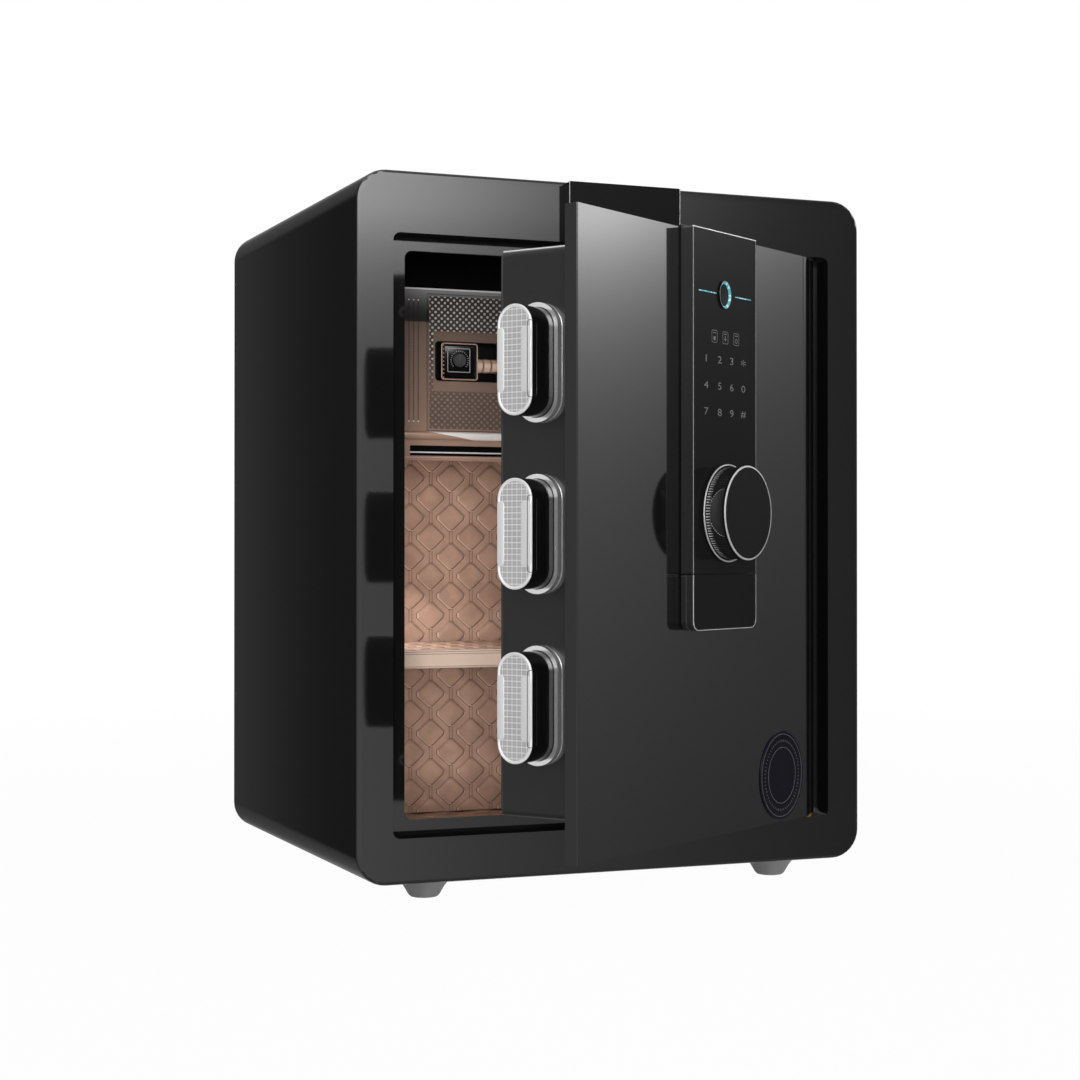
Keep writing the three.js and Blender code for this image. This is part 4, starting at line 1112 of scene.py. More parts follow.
@dataclass
class Cabinet:
    """The painted body with its frame, name strip, feet and hinge pins."""

    strip_centre: float = 180.3
    strip_width: float = 79.5
    strip_low: float = 410.9
    strip_high: float = 449.3
    strip_front: float = -8.5

    def build(self) -> None:
        """Dresses every piece of the body."""
        refined("outer_shell", "body_shell", "cabinet", Finish.BODY_PAINT, 35)
        refined("rebate_frame", "door_frame", "cabinet", Finish.BODY_PAINT, 35, 0.5)
        refined("back_plate", "back_cover", "cabinet", Finish.BODY_PAINT, 35, 0.4)
        refined("badge_strip", "name_strip", "cabinet", Finish.PANEL_GLOSS, 35, 0.3)
        for side, x, y in (("front_left", 54.0, 28.0255), ("front_right", 306.0, 28.0255),
                           ("rear_left", 54.0, 288.0255), ("rear_right", 306.0, 288.0255)):
            self._foot(side, x, y)
        # The lower hinge stud's brass is darkened as painted shade.
        refined("hinge_pin_bottom", "hinge_stud_bottom", "cabinet", Finish.DIM_BRASS, 35)
        refined("hinge_pin_top", "hinge_stud_top", "cabinet", Finish.PLASTIC, 35)
        self._strip_edge()

    def _foot(self, side: str, x: float, y: float) -> None:
        """One foot, a shallow bell turned about the upright: its radius falls in an S from body to floor."""
        profile = np.array([[0.0, 0.0], [18.4, 0.0], [18.35, -0.5], [17.7, -1.0], [16.2, -2.2], [14.5, -4.0],
                            [12.9, -6.2], [11.6, -8.4], [10.5, -10.4], [9.7, -11.5], [8.7, -12.3], [7.5, -12.6],
                            [0.0, -12.6]])
        shape = turned(profile, 64)
        shape = Shape(shape.points[:, [0, 2, 1]], shape.faces).moved(x, y)
        finished(f"chrome_foot_{side}", shape, BODY, "cabinet", Finish.FOOT, 50, (f"foot_{side}",))

    def _strip_edge(self) -> None:
        """A bright wire along the strip's two front edges and its lower edge."""
        low, high = self.strip_low + 0.25, self.strip_high
        half = self.strip_width / 2 - 0.25
        path = np.array([[-half, high], [-half, low], [half, low], [half, high]])
        normal = np.array([[-1.0, 0.0], [-1.0, -1.0], [1.0, -1.0], [1.0, 0.0]])
        shape = carried(path, normal, wire(0.32), closed=False)
        finished("strip_edge", shape.moved(self.strip_centre, self.strip_front + 0.25), BODY, "cabinet",
                 Finish.RIM, 60)


# Lining


@dataclass
class Lining:
    """Quilted leather cloth on the back, the walls and the shelf."""

    pitch_x: float = 33.5
    pitch_z: float = 30.7
    first_x: float = 154.1
    first_z: float = 251.7
    relief: float = 1.4
    width: float = 348.4
    low: float = 5.8
    high: float = 444.2
    corner: float = 14.0
    face: float = 300.9
    back: float = 313.5

    def pad(self, u: np.ndarray, v: np.ndarray) -> np.ndarray:
        """Height of the quilting, 0 to 1.

        With s and t the folded sum and difference of u and v, the pad's edge is where the larger of s / 0.385
        and (s + t) / 0.67 reaches 1. The pad is 1 minus the sixth power of that, and the bands are 0.
        """
        s = np.abs((u + v + 0.5) % 1 - 0.5)
        t = np.abs((u - v + 0.5) % 1 - 0.5)
        edge = np.maximum(np.maximum(s, t) / 0.385, (s + t) / 0.67)
        return np.clip(1 - edge**6, 0, 1)

    def back_pad(self) -> None:
        """The back wall: rows of points whose half width follows the rounded corners, crowned by the pads."""
        half, middle = self.width / 2, (self.low + self.high) / 2
        tall = (self.high - self.low) / 2
        z = np.linspace(self.low, self.high, 300)[:, None]
        into = np.clip(np.abs(z - middle) - (tall - self.corner), 0, self.corner)
        reach = half - self.corner + np.sqrt(np.maximum(self.corner**2 - into**2, 0))
        x = MIDDLE + np.linspace(-1, 1, 244)[None] * reach
        z = z + 0 * x
        u, v = (x - self.first_x) / self.pitch_x, (z - self.first_z) / self.pitch_z
        edge = np.minimum(half - np.abs(x - MIDDLE), tall - np.abs(z - middle))
        hem = np.clip(edge / 5, 0, 1)
        y = self.face + self.relief * (1 - self.pad(u, v) * hem)
        front = np.stack([x, y, z], -1)
        rear = np.stack([x, self.back + 0 * x, z], -1)
        made = finished("quilted_back", lidded(front, rear, np.stack([u, v], -1)), BODY, "cabinet",
                        Finish.QUILT, 70, ("lining_back",))

    def walls(self) -> None:
        """The four walls: the quilting runs along the rounded outline and into the depth."""
        start, end, inner_width, inner_height = 20.3, 313.4, 349.0, 439.0
        path, normal = rounded(inner_width, inner_height, self.corner, 10)
        path, normal = self._even(path, normal, 3.3)
        length = self._length(path)
        repeats = round(length[-1] / self.pitch_x)
        u = (length[:-1] / length[-1] * repeats)[:, None]
        y = np.linspace(start, end, 92)[None]
        v = y / self.pitch_z + 0 * u
        u = u + 0 * y
        hem = np.clip(np.minimum(y - start, end - y) / 5, 0, 1)
        sink = 1.3 * (1 - self.pad(u, v) * hem) + 0.02
        outer = np.full_like(sink[:, :1], 2.95)
        reach = np.concatenate([sink, outer, outer], 1)
        deep = np.concatenate([y + 0 * u, end + 0 * outer, start + 0 * outer], 1)
        flat = path[:, None, :] + normal[:, None, :] * reach[..., None]
        middle = (self.low + self.high) / 2
        points = np.stack([MIDDLE + flat[..., 0], deep, middle + flat[..., 1]], -1)
        uv = np.stack([np.concatenate([u, u[:, :2]], 1), np.concatenate([v, v[:, :2]], 1)], -1)
        made = finished("quilted_walls", grid(points, True, True, uv=uv), BODY, "cabinet",
                        Finish.QUILT, 70, ("lining_sleeve",))

    @staticmethod
    def _length(path: np.ndarray) -> np.ndarray:
        """Length along a closed path up to each point, and its whole length last."""
        step = np.linalg.norm(np.roll(path, -1, 0) - path, axis=1)
        return np.concatenate([[0.0], np.cumsum(step)])

    def _even(self, path: np.ndarray, normal: np.ndarray, step: float) -> tuple[np.ndarray, np.ndarray]:
        """Points at even steps along a closed path, by linear interpolation over its length."""
        length = self._length(path)
        count = round(length[-1] / step)
        at = np.linspace(0, length[-1], count, endpoint=False)
        loop, turns = np.vstack([path, path[:1]]), np.vstack([normal, normal[:1]])
        points = np.stack([np.interp(at, length, loop[:, k]) for k in range(2)], -1)
        ways = np.stack([np.interp(at, length, turns[:, k]) for k in range(2)], -1)
        return points, ways / np.linalg.norm(ways, axis=1, keepdims=True)

    def shelf(self) -> None:
        """The shelf: a padded board whose top is quilted and whose long edges are rolled."""
        left, right, front, rear, low, high = 6.0, 354.0, 142.55, 300.6, 127.7, 140.2
        x = np.linspace(left, right, 200)[:, None]
        y = np.linspace(front, rear, 92)[None]
        u, v = (x - self.first_x) / self.pitch_x, (y - front) / self.pitch_z
        u, v = u + 0 * y, v + 0 * x
        roll = np.clip(np.minimum(y - front, rear - y) / 4, 0, 1)
        hem = np.clip(np.minimum(x - left, right - x) / 4, 0, 1)
        top = high - 1.5 * (1 - self.pad(u, v) * roll * hem) - 1.6 * (1 - np.sin(roll * math.pi / 2))
        under = np.array([rear, rear - 1.5, front + 1.5, front])
        drop = np.array([low + 1.5, low, low, low + 1.5])
        deep = np.concatenate([y + 0 * x, under[None] + 0 * x], 1)
        tall = np.concatenate([top, drop[None] + 0 * x], 1)
        points = np.stack([x + 0 * deep, deep, tall], -1)
        extra = np.stack([u[:, :1] + 0 * under[None], (under[None] - front) / self.pitch_z + 0 * x], -1)
        uv = np.concatenate([np.stack([u, v], -1), extra], 1)
        made = finished("padded_shelf", grid(points, False, True, caps=True, uv=uv), BODY, "cabinet",
                        Finish.QUILT, 70, ("shelf",))

    def build(self) -> None:
        """Builds the lining, the shelf and what holds them."""
        self.back_pad()
        self.walls()
        self.shelf()
        refined("shelf_trim", "shelf_nosing", "cabinet", Finish.CREAM_METAL, 35, 0.7)
        lines = joined(box_edges(348.4, 0.35, 140.6, 140.4, 0.1, 0.05).moved(MIDDLE, 0, height)
                       for height in (139.2, 137.6, 128.9))
        finished("shelf_lines", lines, BODY, "cabinet", Finish.ROSE_THIN, 40)
        repaint(Finish.STEEL, "shelf_bracket_left", "shelf_bracket_right")


# Drawer module


@dataclass
class DrawerModule:
    """The drawer box under the ceiling, its woven front and its code lock."""

    weave_left: float = 96.8
    weave_right: float = 263.2
    weave_low: float = 296.4
    weave_high: float = 389.5
    band_low: float = 322.7
    band_high: float = 365.1
    band_left: float = 99.5
    band_right: float = 260.5
    face: float = 139.9
    across: float = 2.3
    up: float = 2.2
    bead: float = 0.4

    def weave(self, left: float, right: float, low: float, high: float) -> Shape:
        """One field of the woven front.

        A bead stands where the cosines of the two directions have the same sign and are large: height is
        the bead's times the root of what their product has over 0.3, and nothing between.
        """
        x = np.linspace(left, right, max(3, round((right - left) / 0.56) + 1))[:, None]
        z = np.linspace(low, high, max(3, round((high - low) / 0.55) + 1))[None]
        product = np.cos(math.pi * x / self.across) * np.cos(math.pi * z / self.up)
        height = self.bead * np.sqrt(np.clip((product - 0.3) / 0.7, 0, 1))
        inside = np.minimum(np.minimum(x - left, right - x), np.minimum(z - low, high - z))
        height = height * np.clip(inside / 0.3, 0, 1)
        points = np.stack([x + 0 * z, self.face + 0.25 - height, z + 0 * x], -1)
        rear = points.copy()
        rear[..., 1] = self.face + 0.62
        return lidded(points, rear)

    def front(self) -> None:
        """The woven fields round the smooth band, as one piece."""
        shape = joined(self.weave(*field) for field in (
            (self.weave_left, self.weave_right, self.band_high, self.weave_high),
            (self.weave_left, self.weave_right, self.weave_low, self.band_low),
            (self.weave_left, self.band_left, self.band_low, self.band_high),
            (self.band_right, self.weave_right, self.band_low, self.band_high)))
        finished("woven_front", shape, BODY, "drawer", Finish.WEAVE, 80, ("weave_panel",))

    def board(self) -> None:
        """A black board between the module and the ceiling: a plate whose upper corners are arcs."""
        arc = np.linspace(0, math.pi / 2, 9)
        corner = np.stack([np.cos(arc), np.sin(arc)], -1)
        right = np.array([160.6, 431.0]) + 13 * corner
        left = right[::-1] * [-1, 1]
        outline = np.concatenate([[[-173.6, 395.4], [173.6, 395.4]], right, left])
        ways = np.concatenate([[[-0.7, -0.7], [0.7, -0.7]], corner, corner[::-1] * [-1, 1]])
        finished("module_board", slab(outline, ways, 143.0, 140.6, 0.4).moved(MIDDLE), BODY, "cabinet",
                 Finish.INNER_PAINT, 40)

    def lock(self) -> None:
        """The code lock's black face, its square line, its ring of ticks and its dial."""
        centre_x, centre_z, dial_z = 119.1, 344.05, 344.95
        face = box_edges(22.6, 21.6, 141.0, 139.85, 0.8, 0.2).moved(centre_x, 0, centre_z)
        finished("lock_face", face, BODY, "drawer", Finish.BOLT_BLACK, 40)
        path, normal = rounded(16.6, 16.6, 0.6, 3)
        line = carried(path, normal, wire(0.3, 8)).moved(centre_x - 0.6, 139.75, centre_z + 0.9)
        finished("lock_line", line, BODY, "drawer", Finish.RIM, 60)
        ticks = joined(self._tick(a) for a in np.radians(np.linspace(-40, 220, 20)))
        finished("lock_ticks", ticks.moved(centre_x, 0, dial_z), BODY, "drawer",
                 Finish.RIM, 60)
        bead = turned(np.array([[0.0, -0.55], [0.35, -0.42], [0.5, 0.0]]), 8)
        knurl = joined(bead.moved(107.0, 139.6, 332.6 + 2.85 * k) for k in range(9))
        finished("lock_knurl", knurl, BODY, "drawer", Finish.ROSE_PLAIN, 60)
        refined("lock_block", "lock_frame", "drawer", Finish.BOLT_BLACK, 35, 0.3)
        path, normal = rounded(26.6, 25.3, 1.6, 5)
        outline = carried(path, normal, wire(0.42, 8)).moved(centre_x, 139.95, centre_z)
        finished("lock_outline", outline, BODY, "drawer", Finish.ROSE_PLAIN, 60)
        disc = turned(np.array([[0.0, 138.75], [4.2, 138.75], [4.75, 139.2], [4.75, 141.4], [0.0, 141.4]]))
        grip = box_edges(2.2, 8.8, 138.95, 137.35, 0.7, 0.4)
        finished("lock_dial_knob", (disc + grip).moved(centre_x, 0, dial_z), BODY, "lock_dial",
                 Finish.DIAL_GREY, 35, ("lock_turn",))
        for k, word in ((1, "one"), (2, "two"), (3, "three")):
            refined(f"code_wheel_{k}", f"number_wheel_{word}", f"wheel_{word}",
                    Finish.WHEEL, 20, 0.3)

    @staticmethod
    def _tick(a: float) -> Shape:
        """One tick of the scale, 6.5 mm from the middle, turned so that it points at it."""
        tick = box_edges(0.35, 1.0, 139.9, 139.55, 0.1, 0.05)
        turn = np.array([[math.sin(a), -math.cos(a)], [math.cos(a), math.sin(a)]])
        flat = tick.points[:, [0, 2]] @ turn + 6.5 * np.array([math.cos(a), math.sin(a)])
        return Shape(np.stack([flat[:, 0], tick.points[:, 1], flat[:, 1]], -1), tick.faces)

    def _ledge(self) -> None:
        """The ledge bar: a convex profile, half a cosine wave proud of the fascia, carried across the opening."""
        turn = np.linspace(-math.pi / 2, math.pi / 2, 13)
        rear, middle = 140.5, 291.35
        z = middle + 2.95 * np.sin(turn)
        y = 140.45 - 3.1 * np.cos(turn) ** 0.7
        loop = np.stack([np.concatenate([y, [rear, rear]]), np.concatenate([z, [294.3, 288.4]])], -1)
        x = np.array([5.9, 6.2, 353.8, 354.1])[:, None]
        draw = np.array([0.92, 1.0, 1.0, 0.92])[:, None]
        points = np.stack([x + 0 * loop[None, :, 0], rear + (loop[None, :, 0] - rear) * draw,
                           middle + (loop[None, :, 1] - middle) * draw], -1)
        finished("module_ledge", grid(points, False, True, True), BODY, "cabinet", Finish.LEDGE,
                 50, ("ledge_bar",))

    def _slot(self) -> None:
        """Four straight bars: the slot's black channel, its chrome rail painted near-white as its highlight, the
        line over the module that paints the highlight on the fascia's top edge, and the line under it.
        """
        # The rail is real chrome painted near-white as its highlight; the line over the module is a painted
        # highlight on the fascia's top edge.
        for name, width, tall, rear, front, corner, round_edge, height, slot, finish in (
                ("slot_channel", 197.0, 8.6, 144.2, 143.2, 0.4, 0.1, 280.75, "dark_plastic", Finish.INNER_PAINT),
                ("slot_rail", 194.8, 1.0, 143.2, 141.4, 0.4, 0.3, 279.6, "chrome", Finish.EDGE_BRIGHT),
                ("module_top_line", 348.2, 1.1, 140.9, 140.2, 0.3, 0.15, 394.5, "chrome", Finish.EDGE_BRIGHT),
                ("slot_underline", 348.2, 0.5, 140.6, 140.2, 0.2, 0.1, 276.0, "rose_gold", Finish.ROSE_PLAIN)):
            bar = box_edges(width, tall, rear, front, corner, round_edge).moved(MIDDLE, 0, height)
            finished(name, bar, BODY, "cabinet", finish, 40)

    def build(self) -> None:
        """Builds the module."""
        self.board()
        self.front()
        self.lock()
        refined("locker_fascia", "module_fascia", "cabinet", Finish.ROSE_GOLD, 35, 0.5)
        self._ledge()
        self._slot()
        refined("drawer_front", "drawer_face", "drawer", Finish.ROSE_GOLD, 35, 0.4)
        repaint(Finish.STEEL, "locker_box", "drawer_tray")
        repaint(Finish.INNER_PAINT, "lock_case", "wheel_axle")


# Door


@dataclass
class Door:
    """The door plate, its box, hinge barrel, bolts and collars."""

    bolt_centres: tuple[float, ...] = (120.05, 219.95, 319.85)
    bolt_names: tuple[str, ...] = ("bottom", "middle", "top")
    bolt_end: float = -14.3
    bolt_middle: float = 33.6
    bolt_width: float = 23.8
    bolt_height: float = 64.0

    def bolt(self, name: str, centre: float) -> None:
        """One bolt: its black bar, bright end plate, two raised ribs, side line and collar."""
        refined(f"bolt_{name}", f"locking_bolt_{name}", "bolts", Finish.BOLT_BLACK, 35, 0.5)
        refined(f"bolt_collar_{name}", f"collar_{name}", "door", Finish.COLLAR, 35)
        self._end_plate(name, centre)
        self._ribs(name, centre)
        self._side_line(name, centre)

    def _end_plate(self, name: str, centre: float) -> None:
        """A stadium plate with a raised rim and a woven middle; its UV pair is the flat place in millimetres."""
        path, normal = rounded(self.bolt_width, self.bolt_height, self.bolt_width / 2 - 0.01, 16)
        draw = np.array([0.05, 0.05, -0.25, -0.9, -1.2, -1.45])
        out = np.array([0.4, -0.5, -0.8, -0.8, -0.62, -0.45])
        flat = path[None] + normal[None] * draw[:, None, None]
        share = np.linspace(1, 0.02, 14)[1:]
        ring = path + normal * draw[-1]
        spine = np.stack([0 * ring[:, 0], np.clip(ring[:, 1], -20.0, 20.0)], -1)
        fill = spine[None] + (ring - spine)[None] * share[:, None, None]
        flat = np.concatenate([flat, fill])
        depth = np.concatenate([out, np.full(len(share), out[-1])])
        points = np.stack([self.bolt_end + depth[:, None] + 0 * flat[..., 0],
                           self.bolt_middle + flat[..., 0], centre + flat[..., 1]], -1)
        shape = grid(points, wrap_columns=True, caps=True, uv=flat)
        finished(f"bolt_face_{name}", shape, LEAF, "bolts", Finish.BOLT_FACE, 50)

    def _ribs(self, name: str, centre: float) -> None:
        """Two flat ribs with rounded ends at the sides of the end plate, just inside its outline."""
        ribs = []
        for side, width in ((-1, 7.0), (1, 4.6)):
            path, normal = rounded(width, 37.0, 1.9, 6)
            rib = slab(path, normal, 0.3, -1.25, 0.35)
            middle = self.bolt_middle + side * (self.bolt_width / 2 - width / 2 - 0.05)
            points = np.stack([self.bolt_end + rib.points[:, 1], middle + rib.points[:, 0],
                               centre + rib.points[:, 2]], -1)
            ribs.append(Shape(points, rib.faces))
        finished(f"bolt_ribs_{name}", joined(ribs), LEAF, "bolts", Finish.BOLT_RIB, 40)

    def _side_line(self, name: str, centre: float) -> None:
        """A fine raised line on the bolt's front side, 4.7 mm behind its end."""
        path, normal = rounded(9.0, 44.0, 2.2, 5)
        shape = carried(path, normal, wire(0.16, 6)).moved(self.bolt_end + 0.2, 21.72, centre)
        finished(f"bolt_line_{name}", shape, LEAF, "bolts", Finish.BOLT_BLACK, 60)

    def emblem(self) -> None:
        """A plain enamel disc with two fine rings and a circle of short ticks: the round plate."""
        profile = np.array([[0.0, -0.55], [19.0, -0.62], [27.6, -0.62], [28.2, -0.75], [29.0, -0.75],
                            [29.3, -0.45], [29.3, 0.3], [0.0, 0.3]])
        centre = (240.5, 0, 61.7)
        finished("round_plate", turned(profile, 96).moved(*centre), LEAF, "door",
                 Finish.NAVY, 40)
        rings = [turned(np.array([[radius - 0.16, -0.5], [radius - 0.14, -0.78], [radius + 0.14, -0.78],
                                  [radius + 0.16, -0.5], [radius - 0.16, -0.5]]), 96) for radius in (27.2, 18.4)]
        rings = joined([*rings, self._ticks(22.8, 60, 1.5)])
        finished("round_plate_rings", rings.moved(*centre), LEAF, "door", Finish.LEGEND, 40)

    @staticmethod
    def _ticks(radius: float, count: int, length: float) -> Shape:
        """Small radial bars at even angles: one bar's points turned by every angle at once."""
        bar = box_edges(length, 0.34, -0.5, -0.74, 0.12, 0.05)
        angle = np.linspace(0, 2 * math.pi, count, endpoint=False)[:, None]
        across, up = radius + bar.points[:, 0], bar.points[:, 2]
        points = np.stack([across * np.cos(angle) - up * np.sin(angle), bar.points[:, 1] + 0 * angle,
                           across * np.sin(angle) + up * np.cos(angle)], -1)
        size = len(bar.points)
        faces = [[i + k * size for i in face] for k in range(count) for face in bar.faces]
        return Shape(points.reshape(-1, 3), faces)

    def edges(self) -> None:
        """Thin bright lines that paint the highlights on the top edge of the door box and on the leaf's free top
        corner.
        """
        normal = np.array([[0.0, 1.0], [0.0, 1.0]])
        for name, start, end, z, a, radius, finish in (
                ("box_top_line", 9.4, 63.8, 387.6, 16.3, 0.42, Finish.EDGE_BRIGHT),
                ("leaf_top_line", 0.6, 8.2, 408.8, 0.35, 0.35, Finish.RIM)):
            line = carried(np.array([[start, z], [end, z]]), normal, wire(radius, 8), closed=False)
            line = Shape(np.stack([line.points[:, 1] + a, line.points[:, 0], line.points[:, 2]], -1), line.faces)
            finished(name, line, LEAF, "door", finish, 60)

    def screws(self) -> None:
        """Six countersunk screws with a hexagon socket on the inner cover: a hexagon opens into a circle."""
        angle = np.linspace(0, 2 * math.pi, 24, endpoint=False)
        hexagon = 1.6 / np.cos((angle + math.pi / 6) % (math.pi / 3) - math.pi / 6)
        radii = np.stack([0.02 * hexagon, hexagon, hexagon, 0 * angle + 3.4, 0 * angle + 3.8, 0 * angle + 3.8])
        depth = np.array([-0.9, -0.9, 0.45, 0.35, 0.0, -1.0])[:, None] + 0 * angle
        head = grid(np.stack([radii * np.cos(angle), depth, radii * np.sin(angle)], -1), False, True, True)
        every = joined(head.moved(a, 66.0, z) for a in (30.0, 145.0, 260.0) for z in (66.0, 375.0))
        finished("cover_screws", every, LEAF, "door", Finish.SATIN_CHROME, 40)

    def build(self) -> None:
        """Dresses the door."""
        refined("door_plate", "door_leaf", "door", Finish.DOOR_PAINT, 35, 0.6)
        refined("door_box", "door_inner_box", "door", Finish.SATIN_PAINT, 35, 0.4)
        refined("hinge_bar", "hinge_barrel", "door", Finish.INNER_PAINT, 35)
        refined("inner_cover", "door_back_cover", "door", Finish.PLASTIC, 35, 0.4)
        for name, centre in zip(self.bolt_names, self.bolt_centres):
            self.bolt(name, centre)
        self.emblem()
        self.edges()
        self.screws()
        repaint(Finish.STEEL, "bolt_carriage", "solenoid", "solenoid_plunger", "knob_shaft")
        repaint(Finish.BOARD, "circuit_board")
        repaint(Finish.PLASTIC, "battery_holder", "enroll_switch")
        repaint(Finish.RED, "enroll_button")
        repaint(Finish.CELL, "battery_1", "battery_2", "battery_3", "battery_4")


# Control panel


@dataclass
class ControlPanel:
    """The glossy panel: bright edges, sensor, keypad, key cover and knob."""

    left: float = 112.0
    right: float = 189.6
    split: float = 195.72
    low: float = 161.2
    high: float = 409.1
    front: float = -9.7
    middle: float = 150.8
    knob_height: float = 233.7
    columns: tuple[float, ...] = (127.3, 143.8, 158.7, 173.3)
    rows: tuple[float, ...] = (329.2, 312.7, 296.4)
    keys: tuple[str, ...] = ("123*", "4560", "789#")
    inset: float = 0.22
    grip_radius: float = 28.6
    grip_front: float = -24.3
    scoop_half: float = 15.8
    scoop_reach: float = 9.6
    scoop_cut: float = 3.2

    def edges(self) -> None:
        """A bright wire along the front edges of the panel and of the key cover: their polished chamfers, with the
        highlight painted into the wire's colour.
        """
        half, middle = (self.right - self.left) / 2 - self.inset, (self.left + self.right) / 2
        depth = self.front + self.inset
        ends = (self.split + 0.3, self.high - 0.5)
        sides = joined(carried(np.array([[side * half, z] for z in ends]), np.array([[side, 0.0]] * 2),
                               wire(0.32), closed=False) for side in (-1.0, 1.0))
        finished("panel_edge", sides.moved(middle, depth), LEAF, "door", Finish.EDGE, 60)
        top = self.high - self.inset
        path = np.array([[-half - 0.2, top], [half + 0.2, top]])
        crown = carried(path, np.array([[0.0, 1.0]] * 2), wire(0.36), closed=False).moved(middle, depth)
        finished("panel_top_edge", crown, LEAF, "door", Finish.EDGE_BRIGHT, 60)
        # A black band round the panel's foot paints the contact shadow between panel and door.
        path, normal = rounded(self.right - self.left, self.high - self.low, 1.2, 3)
        contact_shadow = carried(path, normal, np.array([[-1.0, 0.0], [0.12, 0.0], [0.12, -1.0], [-1.0, -1.0]]))
        contact_shadow = contact_shadow.moved(middle, 0, (self.low + self.high) / 2 + 1.5)
        finished("panel_contact_shadow", contact_shadow, LEAF, "door", Finish.INNER_PAINT, 40)
        arc = np.linspace(math.pi, 1.5 * math.pi, 8)
        radius = 5.8
        corner = np.stack([np.cos(arc), np.sin(arc)], -1)
        left = np.array([-half + radius, self.low + self.inset + radius]) + radius * corner
        right = np.stack([-left[::-1, 0], left[::-1, 1]], -1)
        ways = np.concatenate([[[-1.0, 0.0]], corner, corner[::-1] * [-1, 1], [[1.0, 0.0]]])
        path = np.concatenate([[[-half, self.split - 0.3]], left, right, [[half, self.split - 0.3]]])
        shape = carried(path, ways, wire(0.32), closed=False).moved(middle, depth)
        finished("key_cover_edge", shape, LEAF, "key_flap", Finish.RIM, 60)
        shape = carried(path, ways, wire(0.2), closed=False).moved(middle, self.front + 5.35)
        shape.points[:, 0] = middle + (shape.points[:, 0] - middle) * (1 + 0.2 / half)
        finished("key_cover_line", shape, LEAF, "key_flap", Finish.DIAL_GREY, 60)

    def keypad(self) -> None:
        """Plain digits printed on the panel, each a text that is made a mesh before it is placed."""
        legend = joined(self._glyph(sign, 10.5 if sign == "*" else 7.4).moved(a, 0, z)
                        for z, row in zip(self.rows, self.keys) for a, sign in zip(self.columns, row))
        finished("keypad_legend", legend, LEAF, "door", Finish.LEGEND, 30)

    def _glyph(self, sign: str, size: float) -> Shape:
        """One character, widened, as a shape centred on its place and a twentieth of a millimetre proud."""
        data = bpy.data.curves.new("glyph", "FONT")
        data.body = sign
        data.size = size
        data.offset = -0.045
        data.extrude = 0.05
        data.resolution_u = 3
        text = bpy.data.objects.new("glyph", data)
        bpy.context.scene.collection.objects.link(text)
        mesh = bpy.data.meshes.new_from_object(text)
        bpy.data.objects.remove(text)
        points = np.empty(len(mesh.vertices) * 3, np.float32)
        mesh.vertices.foreach_get("co", points)
        points = points.reshape(-1, 3).astype(float)
        points[:, :2] -= (points[:, :2].max(0) + points[:, :2].min(0)) / 2
        points[:, :2] *= np.array([1.5, 0.88])
        faces = [list(face.vertices) for face in mesh.polygons]
        bpy.data.meshes.remove(mesh)
        return Shape(np.stack([points[:, 0], self.front - points[:, 2], points[:, 1]], -1), faces)

    def icons(self) -> None:
        """Three plain outline signs above the keypad: a frame with a small mark in it."""
        path, normal = rounded(6.4, 7.4, 0.9, 4)
        frame = carried(path, normal, np.array([[-0.16, 0], [0.16, 0], [0.16, -0.06], [-0.16, -0.06]]))
        frame = frame.moved(0, self.front, 343.4)
        ring = np.array([[1.1, 0.0], [1.5, 0.0], [1.5, -0.06], [1.1, -0.06], [1.1, 0.0]])
        marks = ((137.4, self._bar(2.4, 2.4, 0.5, 342.1)),
                 (150.8, self._bar(0.7, 3.4, 0.3, 342.8) + self._bar(2.8, 0.7, 0.3, 342.4)),
                 (164.4, turned(ring, 16).moved(0, self.front, 342.3)))
        signs = joined((frame + mark + self._bar(3.4, 0.5, 0.2, 345.6)).moved(a) for a, mark in marks)
        finished("panel_signs", signs, LEAF, "door", Finish.LEGEND, 30)

    def _bar(self, width: float, tall: float, corner: float, height: float) -> Shape:
        """A printed bar on the panel's face, six hundredths of a millimetre proud."""
        return box_edges(width, tall, 0.0, -0.06, corner, 0.02).moved(0, self.front, height)

    def sensor(self) -> None:
        """The fingerprint reader: oval wall and crest, lit guide, dark dish, and a light line on each side."""
        place = (self.middle - 1.9, self.front, 370.0)
        oval = np.array([0.87, 1.0, 1.08])
        wall = ((7.8, 0.2), (8.25, -0.3), (8.2, -1.1), (7.95, -1.25), (7.8, -1.1), (7.8, 0.2))
        crest = ((7.55, -1.1), (7.6, -1.28), (7.75, -1.36), (7.95, -1.32), (8.0, -1.1), (7.55, -1.1))
        guide = ((6.3, 0.1), (6.3, -0.15), (6.8, -0.5), (7.58, -1.25), (7.78, -1.15), (7.78, 0.1), (6.3, 0.1))
        dish = ((0.0, -0.02), (3.0, -0.05), (5.4, -0.14), (6.55, -0.22), (6.55, 0.1), (0.0, 0.1))
        for name, profile, slot, finish, replaces in (
                ("sensor_wall", wall, "chrome", Finish.BOLT_BLACK, ("sensor_ring",)),
                ("sensor_bezel", crest, "chrome", Finish.EDGE, ()),
                ("sensor_light", guide, "chrome", Finish.CYAN, ()),
                ("sensor_dish", dish, "gloss_black", Finish.KNOB_BLACK, ())):
            shape = turned(np.array(profile), 72).scaled(oval).moved(*place)
            finished(name, shape, LEAF, "door", finish, 50, replaces)
        left = box_edges(21.4, 0.65, 0.1, -0.12, 0.3, 0.05).moved(128.9, self.front, 370.3)
        right = box_edges(20.0, 0.65, 0.1, -0.12, 0.3, 0.05).moved(173.0, self.front, 370.1)
        finished("sensor_lines", left + right, LEAF, "door", Finish.CYAN, 50)

